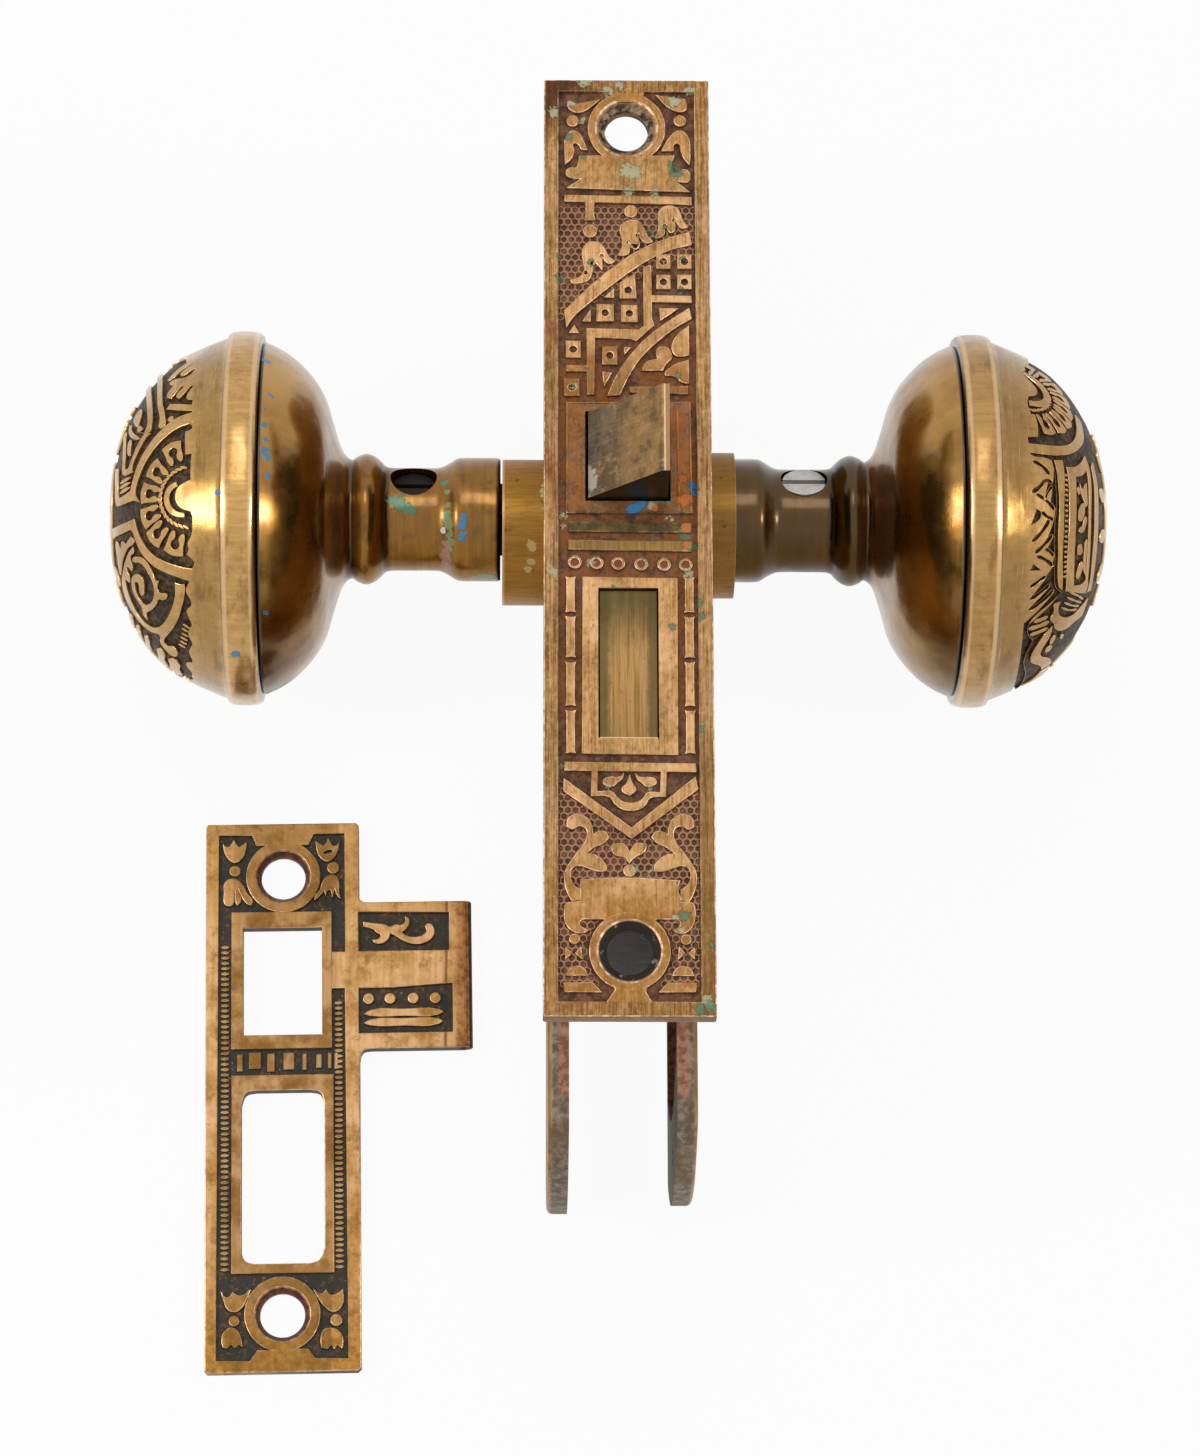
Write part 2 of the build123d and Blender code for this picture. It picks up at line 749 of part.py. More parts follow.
# Dead bolt: a bronze head and its flat tail in one casting. The tail slides on a post, has
# the talon for the key below, and a ramp and a locking notch for the tumbler above.
bolt_front_z = front_z - bolt_recess
tail_height = tail_top_y - tail_bottom_y
notch_y = tail_top_y - notch_depth
locked_z = stud_z - bolt_throw
with BuildPart() as deadbolt:
    with BuildSketch(Plane.XY.offset(bolt_rear_z)):
        with Locations((0, bolt_y)):
            Rectangle(bolt_thick, bolt_height)
    extrude(amount=bolt_front_z - bolt_rear_z)
    with BuildSketch(Plane.YZ.offset(tail_x)):
        with Locations(((tail_top_y + tail_bottom_y) / 2, (tail_rear_z + bolt_rear_z) / 2)):
            Rectangle(tail_height, bolt_rear_z - tail_rear_z)
        with BuildLine():
            Polyline(
                (tail_top_y, stud_z + notch_width / 2),
                (notch_y, stud_z + notch_width / 2),
                (notch_y, stud_z - notch_width / 2),
                (tail_top_y, locked_z - notch_width / 2),
                close=True,
            )
        make_face(mode=Mode.SUBTRACT)
        with Locations((tail_top_y - notch_depth / 2, locked_z)):
            Rectangle(notch_depth, notch_width, mode=Mode.SUBTRACT)
        with Locations((tail_bottom_y + talon_depth / 2, talon_z)):
            Rectangle(talon_depth, talon_width, mode=Mode.SUBTRACT)
        slot_length = bolt_throw + 2 * (guide_r + guide_fit)
        with Locations((guide_y, guide_z - bolt_throw / 2)):
            SlotOverall(slot_length, 2 * (guide_r + guide_fit), rotation=90, mode=Mode.SUBTRACT)
    extrude(amount=tail_thick)
    with BuildSketch(Plane.YZ.offset(tail_x)):
        with Locations(((tail_top_y + tail_bottom_y) / 2, bolt_rear_z + tail_thick / 2)):
            Rectangle(tail_height, tail_thick)
    extrude(amount=tail_thick)
deadbolt.part.label = "deadbolt"
export_step(deadbolt.part, "parts/deadbolt.step")

# Tumbler pin: pressed through the floor of the case.
with BuildPart() as tumbler_pin:
    with BuildSketch(Plane.YZ.offset(-case_half)):
        with Locations((pivot_y, pivot_z)):
            Circle(pivot_r)
    extrude(amount=tumbler_x + tumbler_thick + tumbler_gap + case_half)
tumbler_pin.part.label = "tumbler_pin"
export_step(tumbler_pin.part, "parts/tumbler_pin.step")

# Tumbler: a brass lever beside the tail, with a belly for the key and a stud in the notch.
with BuildPart() as tumbler:
    with BuildSketch(Plane.YZ.offset(tumbler_x)):
        with Locations((pivot_y, pivot_z)):
            Circle(pivot_ring_r)
        with BuildLine():
            Polyline(
                (pivot_y - pivot_ring_r / 2, pivot_z),
                (arm_bottom, belly_front_z + belly_lead),
                (arm_bottom - 4, belly_front_z),
                (key_y + key_sweep, spindle_z + 3),
            )
            ThreePointArc(
                (key_y + key_sweep, spindle_z + 3),
                (key_y + key_sweep - 0.5, spindle_z),
                (key_y + key_sweep, spindle_z - 3),
            )
            Polyline(
                (key_y + key_sweep, spindle_z - 3),
                (arm_bottom - 4, belly_rear_z),
                (arm_bottom, arm_rear_z + 1),
                (arm_bottom + 2, arm_rear_z),
                (arm_top, arm_rear_z),
                (arm_top, pivot_z),
                (pivot_y - pivot_ring_r / 2, pivot_z),
            )
        make_face()
        with Locations((pivot_y, pivot_z)):
            Circle(pivot_r + running_fit, mode=Mode.SUBTRACT)
    extrude(amount=tumbler_thick)
    with BuildSketch(Plane.YZ.offset(tumbler_x)):
        with Locations((notch_y + stud_gap + stud_r, stud_z)):
            Circle(stud_r)
    extrude(amount=-(tumbler_gap + tail_thick - bolt_fit))
tumbler.part.label = "tumbler"
export_step(tumbler.part, "parts/tumbler.step")

# Tumbler spring: a flat steel strip that stands on the arm and bears on the cover post.
strip_foot = (arm_top + rivet_fit, arm_rear_z + leaf_foot)
with BuildPart() as tumbler_spring:
    with BuildSketch(Plane.YZ.offset(tumbler_x)):
        with BuildLine():
            Polyline(
                strip_foot,
                (strip_foot[0], strip_foot[1] + leaf_rise),
                (cover_post_y - cover_post_r - leaf_thick - rivet_fit, cover_post_z),
                (cover_post_y - cover_post_r - rivet_fit, cover_post_z),
                (strip_foot[0] + leaf_thick, strip_foot[1] + leaf_rise),
                (strip_foot[0] + leaf_thick, strip_foot[1]),
                close=True,
            )
        make_face()
    extrude(amount=tumbler_thick)
tumbler_spring.part.label = "tumbler_spring"
export_step(tumbler_spring.part, "parts/tumbler_spring.step")


def plate_outline(foot_y, inset, pad):
    """A long plate with shallow arched ends, set in by the inset and short by the pad."""
    half = plate_width / 2 - inset
    foot = foot_y + max(inset, pad)
    head = foot_y + plate_length - max(inset, pad)
    Line((foot + plate_arch, spindle_z + half), (head - plate_arch, spindle_z + half))
    ThreePointArc(
        (head - plate_arch, spindle_z + half),
        (head, spindle_z),
        (head - plate_arch, spindle_z - half),
    )
    Line((head - plate_arch, spindle_z - half), (foot + plate_arch, spindle_z - half))
    ThreePointArc(
        (foot + plate_arch, spindle_z - half),
        (foot, spindle_z),
        (foot + plate_arch, spindle_z + half),
    )


def door_plate(side, stand_off, hang):
    """A cast door plate with a hollow back, a thimble for the shank and a keyhole."""
    inner_x = side * (case_half + stand_off)
    outer_x = inner_x + side * plate_thick
    center_y = spindle_y - hang
    foot_y = center_y - knob_to_foot
    screws = [foot_y + plate_screw_inset, foot_y + plate_length - plate_screw_inset]
    with BuildPart() as plate:
        with BuildSketch(Plane.YZ.offset(inner_x)):
            with BuildLine():
                plate_outline(foot_y, 0, 0)
            make_face()
        extrude(amount=side * plate_thick)
        outer_face = plate.faces().filter_by(Axis.X).sort_by(Axis.X)[-1 if side > 0 else 0]
        fillet(outer_face.edges(), plate_edge)
        with BuildSketch(Plane.YZ.offset(inner_x)):
            with BuildLine():
                plate_outline(foot_y, plate_rim, plate_pad)
            make_face()
        extrude(amount=side * plate_hollow, mode=Mode.SUBTRACT)
        with BuildSketch(Plane.YZ.offset(inner_x + side * plate_hollow)):
            with Locations((center_y, spindle_z)):
                Circle(collar_r)
        extrude(amount=side * (plate_thick - plate_hollow + collar_height))
        with BuildSketch(Plane.YZ.offset(outer_x)):
            with Locations((center_y, spindle_z)):
                Circle(collar_bore_r)
        extrude(amount=side * collar_height, mode=Mode.SUBTRACT)
        with BuildSketch(Plane.YZ.offset(inner_x)):
            with Locations((center_y, spindle_z)):
                Circle(spindle_hole_r)
            key_profile(center_y - key_drop, key_r, key_slot)
        extrude(amount=side * plate_thick, mode=Mode.SUBTRACT)
        for screw_y in screws:
            with BuildSketch(Plane.YZ.offset(inner_x)):
                with Locations((screw_y, spindle_z)):
                    Circle(plate_screw_r)
            extrude(amount=side * plate_thick, mode=Mode.SUBTRACT)
            with BuildSketch(Plane.YZ.offset(outer_x)):
                with Locations((screw_y, spindle_z)):
                    Circle(plate_countersink_r)
            with BuildSketch(Plane.YZ.offset(outer_x - side * (plate_countersink_r - plate_screw_r))):
                with Locations((screw_y, spindle_z)):
                    Circle(plate_screw_r)
            loft(mode=Mode.SUBTRACT)
    return plate.part


for name, side, stand_off, hang in (
    ("left_escutcheon", -1, left_stand_off, left_hang),
    ("right_escutcheon", 1, right_stand_off, right_hang),
):
    solid = door_plate(side, stand_off, hang)
    solid.label = name
    export_step(solid, "parts/" + name + ".step")

# Strike: the keeper for the door frame, face up on the table, with its lip to the right.
strike_angle = radians(strike_turn)
strike_plane = Plane(
    origin=(strike_x, strike_y, 0), x_dir=(cos(strike_angle), sin(strike_angle), 0), z_dir=(0, 0, 1)
)
lip_x = strike_width / 2 + lip_reach / 2
strike_face = strike_plane.offset(strike_thick - strike_ground)
with BuildPart() as strike_plate:
    with BuildSketch(strike_plane):
        Rectangle(strike_width, strike_length)
        with Locations((lip_x - lip_roll, lip_y)):
            Rectangle(lip_reach + 2 * lip_roll, lip_height)
    extrude(amount=strike_thick)
    lip_edge = strike_plate.edges().filter_by(lambda e: abs(e.length - lip_height) < 1)
    fillet(lip_edge.sort_by(Axis.X)[-2:].sort_by(Axis.Z)[-1], lip_roll)
    with BuildSketch(strike_face):
        Rectangle(strike_width - 2 * strike_border, strike_length - 2 * strike_border)
        with Locations((0, strike_screw_y), (0, -strike_screw_y)):
            Circle(strike_ring_r, mode=Mode.SUBTRACT)
        with Locations((0, latch_hole_y)):
            Rectangle(
                latch_hole_width + 2 * latch_rim,
                latch_hole_height + 2 * latch_rim_end,
                mode=Mode.SUBTRACT,
            )
        with Locations((0, bolt_hole_y)):
            Rectangle(
                bolt_hole_width + 2 * bolt_rim,
                bolt_hole_height + 2 * bolt_rim_end,
                mode=Mode.SUBTRACT,
            )
    extrude(amount=strike_ground, mode=Mode.SUBTRACT)
    with BuildSketch(strike_face):
        with Locations((lip_x - lip_roll, lip_y)):
            Rectangle(lip_reach - lip_roll * 2, lip_height - 2 * lip_border)
        with Locations((lip_x, lip_y + lip_band_y)):
            Rectangle(lip_reach, lip_band, mode=Mode.SUBTRACT)
    extrude(amount=strike_ground, mode=Mode.SUBTRACT)
    with BuildSketch(strike_plane):
        with Locations((0, latch_hole_y)):
            Rectangle(latch_hole_width, latch_hole_height)
        with Locations((0, bolt_hole_y)):
            RectangleRounded(bolt_hole_width, bolt_hole_height, bolt_hole_corner)
    extrude(amount=strike_thick, mode=Mode.SUBTRACT)
    with Locations(strike_plane.offset(strike_thick)):
        with Locations((0, strike_screw_y), (0, -strike_screw_y)):
            CounterSinkHole(strike_hole_r, strike_countersink_r)
strike_plate.part.label = "strike_plate"
export_step(strike_plate.part, "parts/strike_plate.step")
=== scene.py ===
import math

import bpy
from mathutils import Matrix, Vector


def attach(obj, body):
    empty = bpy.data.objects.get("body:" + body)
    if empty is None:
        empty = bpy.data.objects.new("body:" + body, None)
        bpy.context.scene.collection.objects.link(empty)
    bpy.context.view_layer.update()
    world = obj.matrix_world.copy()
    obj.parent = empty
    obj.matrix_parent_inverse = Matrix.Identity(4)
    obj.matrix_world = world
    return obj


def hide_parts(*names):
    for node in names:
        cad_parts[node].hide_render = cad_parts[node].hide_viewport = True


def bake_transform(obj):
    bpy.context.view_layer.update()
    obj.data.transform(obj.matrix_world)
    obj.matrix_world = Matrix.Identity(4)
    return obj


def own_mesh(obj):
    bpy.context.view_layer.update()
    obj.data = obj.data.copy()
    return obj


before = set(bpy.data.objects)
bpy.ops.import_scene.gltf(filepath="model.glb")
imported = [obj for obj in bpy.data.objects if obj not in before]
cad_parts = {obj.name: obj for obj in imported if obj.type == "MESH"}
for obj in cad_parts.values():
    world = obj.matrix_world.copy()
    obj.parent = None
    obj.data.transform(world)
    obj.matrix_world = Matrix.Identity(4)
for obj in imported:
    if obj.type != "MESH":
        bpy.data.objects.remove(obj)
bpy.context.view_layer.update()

# The table, the light and the eye. The set stands on a white table under three soft lamps, seen
# from above and a little from the side of the lock's lower end.
def clear_selection():
    """Nothing is selected or active before a new shape is added."""
    bpy.ops.object.select_all(action="DESELECT")
    bpy.context.view_layer.objects.active = None


def take(piece):
    """Only this piece is selected and active, ready for an operator."""
    clear_selection()
    piece.select_set(True)
    bpy.context.view_layer.objects.active = piece


def placed(name, data):
    """A new object of the scene, at the origin."""
    made = bpy.data.objects.new(name, data)
    bpy.context.collection.objects.link(made)
    return made


def colour(text, strength=1.0):
    """A colour written as six hex digits, as the light that a surface sends back."""
    parts = [int(text[i : i + 2], 16) / 255 for i in (0, 2, 4)]
    straight = [p / 12.92 if p < 0.04045 else ((p + 0.055) / 1.055) ** 2.4 for p in parts]
    return (*[p * strength for p in straight], 1.0)


eye_data = bpy.data.cameras.new("eye")
eye_data.sensor_width = 36
eye_data.lens = 123.1
eye = placed("eye", eye_data)
eye.rotation_mode = "ZXY"
eye.rotation_euler = (0.3024, -0.01903, -0.002284)
eye.location = (-0.0166, -0.2348, 0.7468)
bpy.context.scene.camera = eye
bpy.context.scene.view_settings.view_transform = "Standard"

clear_selection()
bpy.ops.mesh.primitive_plane_add(size=4, location=(0, 0, -0.0002))
table = bpy.context.object
table.name = "table"


class Tone:
    """A value on its way through a finish. Sums and products of it add Math nodes."""

    def __init__(self, finish, socket):
        self.finish = finish
        self.socket = socket

    def __add__(self, other):
        return self.finish.reckon("ADD", self, other)

    def __sub__(self, other):
        return self.finish.reckon("SUBTRACT", self, other)

    def __rsub__(self, other):
        return self.finish.reckon("SUBTRACT", other, self)

    def __mul__(self, other):
        return self.finish.reckon("MULTIPLY", self, other)

    def __lt__(self, other):
        return self.finish.reckon("LESS_THAN", self, other)

    def __abs__(self):
        return self.finish.reckon("ABSOLUTE", self)

    __radd__ = __add__
    __rmul__ = __mul__

    def most(self, other):
        return self.finish.reckon("MAXIMUM", self, other)

    def least(self, other):
        return self.finish.reckon("MINIMUM", self, other)

    def rise(self, low, high):
        """0 below low, 1 above high, and smooth between them."""
        return self.finish.node(
            "ShaderNodeMapRange",
            {"interpolation_type": "SMOOTHSTEP"},
            {"Value": self, "From Min": low, "From Max": high},
        )

    def fall(self, low, high):
        """1 below low, 0 above high, and smooth between them."""
        return 1 - self.rise(low, high)


class Finish:
    """One material, or the room's light, put together from its nodes. Places are in metres."""

    def __init__(self, name, world=None):
        self.material = world or bpy.data.materials.new(name)
        self.material.use_nodes = True
        self.tree = self.material.node_tree
        self.tree.nodes.clear()

    def node(self, kind, settings=None, inputs=None, output=0):
        made = self.tree.nodes.new(kind)
        for key, value in (settings or {}).items():
            setattr(made, key, value)
        for key, value in (inputs or {}).items():
            if isinstance(value, Tone):
                self.tree.links.new(value.socket, made.inputs[key])
            else:
                made.inputs[key].default_value = value
        return Tone(self, made.outputs[output])

    def reckon(self, operation, *values):
        return self.node("ShaderNodeMath", {"operation": operation}, dict(enumerate(values)))

    def place(self, output="Object"):
        return self.node("ShaderNodeTexCoord", output=output)

    def axes(self, output="Object"):
        parted = self.node("ShaderNodeSeparateXYZ", inputs={0: self.place(output)})
        return [Tone(self, s) for s in parted.socket.node.outputs]

    def noise(self, per_mm, detail=3.0, rough=0.5, stretch=(1, 1, 1), start=(0, 0, 0)):
        scaled = [per_mm * 1000 * s for s in stretch]
        where = self.node(
            "ShaderNodeMapping",
            inputs={"Vector": self.place(), "Location": start, "Scale": scaled},
        )
        return self.node(
            "ShaderNodeTexNoise",
            inputs={"Vector": where, "Scale": 1.0, "Detail": detail, "Roughness": rough},
        )

    def mix(self, part, first, second):
        """Two colours in one, each a tone or six hex digits."""
        first, second = [colour(c) if isinstance(c, str) else c for c in (first, second)]
        return self.node(
            "ShaderNodeMix", {"data_type": "RGBA"}, {0: part, 6: first, 7: second}, output=2
        )

    def coats(self, tone, *coats):
        """Colours laid over one another in turn, each with its share of the surface."""
        for part, over in coats:
            tone = self.mix(part, tone, over)
        return tone

    def flecks(self, spots, ragged):
        """1 on flecks of dried paint, each given by the middle and the radius in mm."""
        where = self.place()
        nearest = None
        for *middle, radius in spots:
            away = self.node(
                "ShaderNodeVectorMath", {"operation": "DISTANCE"},
                {0: where, 1: [m / 1000 for m in middle]}, output=1,
            ) * (1000 / radius)
            nearest = away if nearest is None else nearest.least(away)
        return (nearest + (ragged - 0.5) * 2.4).fall(0.75, 0.95)

    def painted(self, tone, ragged, paints, shade=None):
        """A tone under flecks of dried paints, and the place of all of them."""
        everywhere = None
        for text, spots in paints:
            paint = self.flecks(spots, ragged)
            over = self.mix(shade, colour(text, 0.7), colour(text, 1.2)) if shade else text
            tone = self.mix(paint * 0.9, tone, over)
            everywhere = everywhere.most(paint) if everywhere else paint
        return tone, everywhere

    def bump(self, height, depth_mm, strength=1.0, under=None):
        inputs = {"Height": height, "Distance": depth_mm / 1000, "Strength": strength}
        if under:
            inputs["Normal"] = under
        return self.node("ShaderNodeBump", inputs=inputs)

    def close(self, **inputs):
        keyed = {key.replace("_", " "): value for key, value in inputs.items()}
        self.show(self.node("ShaderNodeBsdfPrincipled", inputs=keyed))
        return self.material

    def show(self, shader, output="ShaderNodeOutputMaterial"):
        made = self.tree.nodes.new(output)
        self.tree.links.new(shader.socket, made.inputs["Surface"])


def wear(piece, material):
    """A piece or a CAD node takes this material in all its slots."""
    if not piece.data.materials:
        piece.data.materials.append(material)
    for slot in piece.material_slots:
        slot.material = material


def shown_white(finish, lit, white, share=1.0):
    """The white shader for the eye and for what metal shows, and the lit one for the rest."""
    rays = finish.node("ShaderNodeLightPath").socket.node.outputs
    seen = Tone(finish, rays["Is Camera Ray"])
    for kind in ("Glossy", "Transmission"):
        seen = seen.most(Tone(finish, rays[f"Is {kind} Ray"]))
    return finish.node("ShaderNodeMixShader", inputs={0: seen * share, 1: lit, 2: white})


table_top = Finish("white_table")
table_top.show(shown_white(
    table_top,
    table_top.node("ShaderNodeBsdfDiffuse", inputs={"Color": (0.86, 0.86, 0.86, 1)}),
    table_top.node("ShaderNodeEmission", inputs={"Color": (1, 1, 1, 1), "Strength": 1.0}),
    0.94,
))
wear(table, table_top.material)

bpy.context.scene.world = bpy.data.worlds.new("room")
room = Finish("room", bpy.context.scene.world)
dim, bright = [
    room.node("ShaderNodeBackground", inputs={"Color": (1, 1, 1, 1), "Strength": strength})
    for strength in (0.3, 1.0)
]
room.show(shown_white(room, dim, bright), "ShaderNodeOutputWorld")

lit_spot = Vector((0, 0, 0.03))
for name, place, size, watts in (
    ("lamp_above", (0.0, 0.5, 1.3), 0.5, 2.2),
    ("lamp_left", (-0.85, -0.12, 0.85), 0.3, 4.0),
    ("lamp_right", (0.8, -0.2, 0.85), 0.22, 2.4),
):
    light = bpy.data.lights.new(name, "AREA")
    light.size = size
    light.energy = watts
    lamp = placed(name, light)
    lamp.location = place
    lamp.rotation_euler = (lit_spot - Vector(place)).to_track_quat("-Z", "Y").to_euler()

# Lock front: one bronze casting with a sunk ground inside a plain border. Every figure stands
# as a flat-topped shape on the ground, and the top is brushed along the length of the front.
front_z = 85.875
ground_z = 85.325
seat_z = 82.675
sink_z = front_z - 1.35
half_x = 11.9
half_y = 69.85
corner_cut = 0.15
screw_spots = ((0.0, 62.3), (0.0, -60.6))
comb_pitch = 1.06


def drawn(text):
    """Points in mm, each written as x,y, with a stroke after it where it is a sharp corner."""
    points = []
    for word in text.split():
        numbers = [float(number) for number in word.rstrip("|").split(",")]
        points.append((*numbers, 1) if word.endswith("|") else tuple(numbers))
    return points


def sharp(points):
    return [(x, y, 1) for x, y in points]


def box_line(x0, y0, x1, y1):
    return sharp([(x0, y0), (x1, y0), (x1, y1), (x0, y1)])


def round_line(x, y, radius, points=12):
    turn = 2 * math.pi / points
    return [
        (x + radius * math.cos(i * turn), y + radius * math.sin(i * turn)) for i in range(points)
    ]


def mirrored(outline, middle=0.0):
    return [(2 * middle - p[0], *p[1:]) for p in outline]


def flat_shape(outlines, low, high, edge=0.14, steps=4):
    """A flat shape in millimetres between two heights, with its edges rounded over.
    An outline inside another one is a hole."""
    curve = bpy.data.curves.new("shape", "CURVE")
    curve.dimensions = "2D"
    curve.fill_mode = "BOTH"
    curve.extrude = (high - low) / 2 - edge
    curve.bevel_depth = edge
    curve.offset = -edge
    curve.bevel_resolution = 1
    for outline in outlines:
        spline = curve.splines.new("BEZIER")
        spline.bezier_points.add(len(outline) - 1)
        spline.use_cyclic_u = True
        spline.resolution_u = steps
        for knot, point in zip(spline.bezier_points, outline):
            knot.co = (point[0], point[1], 0)
            knot.handle_left_type = knot.handle_right_type = "VECTOR" if len(point) > 2 else "AUTO"
    take(placed("shape", curve))
    bpy.ops.object.convert(target="MESH")
    shape = bpy.context.object
    shape.data.transform(Matrix.Translation((0, 0, (low + high) / 2)))
    shape.data.transform(Matrix.Scale(0.001, 4))
    return shape


def plate(outlines, screws, bore, low, high, edge):
    """A flat plate with a round hole of this radius at each screw."""
    holes = [round_line(x, y, bore, 16) for x, y in screws]
    return flat_shape([*outlines, *holes], low, high, edge)


def gathered(name, shapes, smooth=35.0):
    """Shapes joined to one piece, smooth across shallow edges."""
    clear_selection()
    for shape in shapes:
        shape.select_set(True)
    bpy.context.view_layer.objects.active = shapes[0]
    bpy.ops.object.join()
    piece = bpy.context.object
    piece.name = name
    bpy.ops.object.shade_smooth_by_angle(angle=math.radians(smooth))
    return piece


def turned(profile, spot, axis, steps=96, name="turned"):
    """A closed turned shape. The profile gives (distance along the axis, radius) in mm."""
    along = Vector(axis)
    out = Vector((0, 0, 1)) if abs(along.z) < 0.5 else Vector((1, 0, 0))
    spots = [Vector(spot) + along * d + out * r for d, r in profile]
    mesh = bpy.data.meshes.new(name)
    edges = [(i, i + 1) for i in range(len(spots) - 1)]
    mesh.from_pydata([s * 0.001 for s in spots], edges, [])
    piece = placed(name, mesh)
    take(piece)
    bpy.ops.object.mode_set(mode="EDIT")
    bpy.ops.mesh.select_all(action="SELECT")
    bpy.ops.mesh.spin(
        steps=steps, angle=2 * math.pi, center=Vector(spot) * 0.001, axis=along, dupli=False
    )
    bpy.ops.mesh.select_all(action="SELECT")
    bpy.ops.mesh.remove_doubles(threshold=1e-6)
    bpy.ops.mesh.normals_make_consistent(inside=False)
    bpy.ops.object.mode_set(mode="OBJECT")
    return piece


bell_left = drawn("""
    -8.91,56.45| -9,59.2 -8.81,60.95 -8,61.84 -6.78,61.52 -6.13,60.2 -5.57,58.77| -6.58,58.88|
    -7.15,59.76 -7.63,59.75 -7.49,58.65 -7.9,57.5""")
bell_right = drawn("""
    4.96,58.68| 6.29,61.05 7.62,62.05 8.83,61.17 9.26,58.31 9.1,56.44| 8.3,57.43 7.76,58.74
    7.5,59.84 7,59.8 6.83,58.69|""")
leaf_left = drawn("""
    -3.73,66.84| -5.56,66.5 -7.18,66.16 -8.4,66.59 -8.56,65.71 -7.79,64.83 -6.57,64.72
    -5.15,65.51""")
leaf_right = drawn("4.2,67.56| 6.64,67.24 8.57,66.92| 8.7,65.3 7.9,64.85 6.8,65.1 5.6,65.9")
upper_panel = drawn("""
    -6.9,58| 6.98,58.05| 6.6,56.6 6.62,55.7 7.17,55.33 7.88,55.89 8.79,55.78 9.23,54.8 8.95,53.95
    7.97,53.8 7.2,54| 9.27,52.28| -8.81,52.83| -6.79,54.26| -7.8,54.35 -8.65,54.75 -8.75,55.6
    -8,56.15 -7.35,56.13 -7,57""")
upper_bar = drawn("-9.01,51.84| 9.37,51.6| 9.36,50.3| -9.01,50.75|")
stem = drawn("-6.05,50.9| -4.6,50.9| -4.68,49| -4.55,47.83| -6.1,47.82| -5.95,49|")
flower_low = drawn("""
    -6.4,43.45 -5.79,44.33 -4.78,44.59 -3.78,44.34 -3.08,43.47 -2.68,42.5 -1.67,41.53| -2.38,41.1
    -3,41.3 -3.5,41.95| -3.5,40| -4.1,40.7 -4.69,41.4| -4.89,40.21 -5.1,39.23 -5.7,38.4 -6.8,38.1
    -7.91,38.05 -8.2,38.6| -6.9,39.11 -6.24,39.98 -6.3,41.28 -6.5,42.37""")
flower_middle = drawn("""
    -1.05,46.53 -0.55,47.51 0.67,47.96 1.77,47.74 2.47,46.77 3.07,45.46 3.91,44.55| 2.66,44.33
    2,44.87 1.66,45.35| 1.76,43.72 1.05,43.35 0.65,43.88 0.31,44.35| 0.34,42.84 -0.56,42.34
    -1.37,42.4| -0.86,43.48 -0.76,44.79 -0.96,45.66""")
flower_high = drawn("""
    4.4,48.42 4.81,49.74 5.92,50.25 7.13,50 7.73,49.1 8.13,47.79 8.93,46.88| 7.82,46.6 7.3,47.2
    6.9,47.88| 6.91,46.36 6.3,45.93 5.8,46.4 5.45,46.89| 5.39,45.69 4.58,45.11 3.9,45.11|
    4.49,46.57 4.46,47.77""")
flower_eyes = drawn("-3.62,42.35 -4.95,41.2 -5.9,39.75 1.55,45.55 0.25,44.5 6.8,47.95 5.4,47.05")
arc_high = drawn("""
    -9.01,33.92| -5.6,37.43 -1.57,41 2.46,43.72 5.49,45.04 9.02,46.2| 9.35,44.09| 6.49,43.33
    3.46,41.89 0.43,39.85 -2.59,37.41 -5.6,34.84 -7.61,32.9 -8.71,31.16|""")
arc_low = drawn("""
    -2.93,20.83| -1.63,23.98 0.38,27.09 2.99,30.06 5.41,32.06 8.87,34.44| 9.26,32.72| 7.41,31.6
    4.39,29.2 1.98,26.67 0.37,24.09 -1.08,20.99|""")
studs = drawn("""
    4.16,40.38,6.26,42.64 7.18,40.39,9.28,42.66 4.15,37.24,6.24,39.5 7.16,37.25,9.26,39.52
    -4.4,32.23,-1.9,34.91 -0.89,32.14,1.5,34.82 -8.81,26.67,-6.62,29.29 -9.01,20.85,-6.82,23.51
    -3.61,25.62,-1.42,28.46""")
stud_cut = drawn("1.13,39.7| 1.38,35.76| -1.09,35.75| -1.08,38.25|")
wedges = (
    drawn("-1.87,37.41| -1.83,35.86| -3.36,35.89|"),
    drawn("-5.24,34.15| -5.17,32.17| -6.51,32.21|"),
    drawn("-7.55,31.77| -6.85,30.44| -8.37,30.44|"),
    drawn("-0.51,28.37| 0.55,28.33| -0.46,27.04|"),
    drawn("-3.62,24.61| -2.19,24.4| -3.33,22.15|"),
    drawn("4.52,34.38| 7.47,34.33| 4.69,32.31|"),
)
fret = drawn("""
    3.49,41.08| 2.28,40.51| 2.3,31.61| 1.6,31.06| -5.85,31.24| -5.78,21.03| -4.73,21.03|
    -4.57,29.75| 0.39,29.55| 1.3,29.25| 3.9,31.73| 3.57,32.69|""")
band_high = drawn("3.43,36.36| 9.19,36.28| 9.28,35.14| 3.42,35.24|")
band_low = drawn("-8.71,25.54| -5.72,25.56| -5.72,24.58| -8.71,24.58|")
leaf_corner = drawn("8.85,31.75| 7.4,30.57 6.49,29.27 6.3,27.87 6.98,26.95 8.85,27.13|")
lobe_corner = drawn("""
    2,24.7| 2.57,26.03 3.58,26.5 4.22,26.57| 4.08,27.75 4.69,28.45 5.63,28.4 6.25,27.7 6.37,26.55|
    5.6,25.8 5.06,24.76|""")
fan_corner = drawn("5.3,24.1 6.1,25.3 7.3,26 8.75,26.5| 8.8,22.75| 7.6,23 6.95,23.7 6.16,23.95")
bar_corner = drawn("0.16,22.34| 8.58,22.48| 8.67,21.15| 0.36,21.39|")
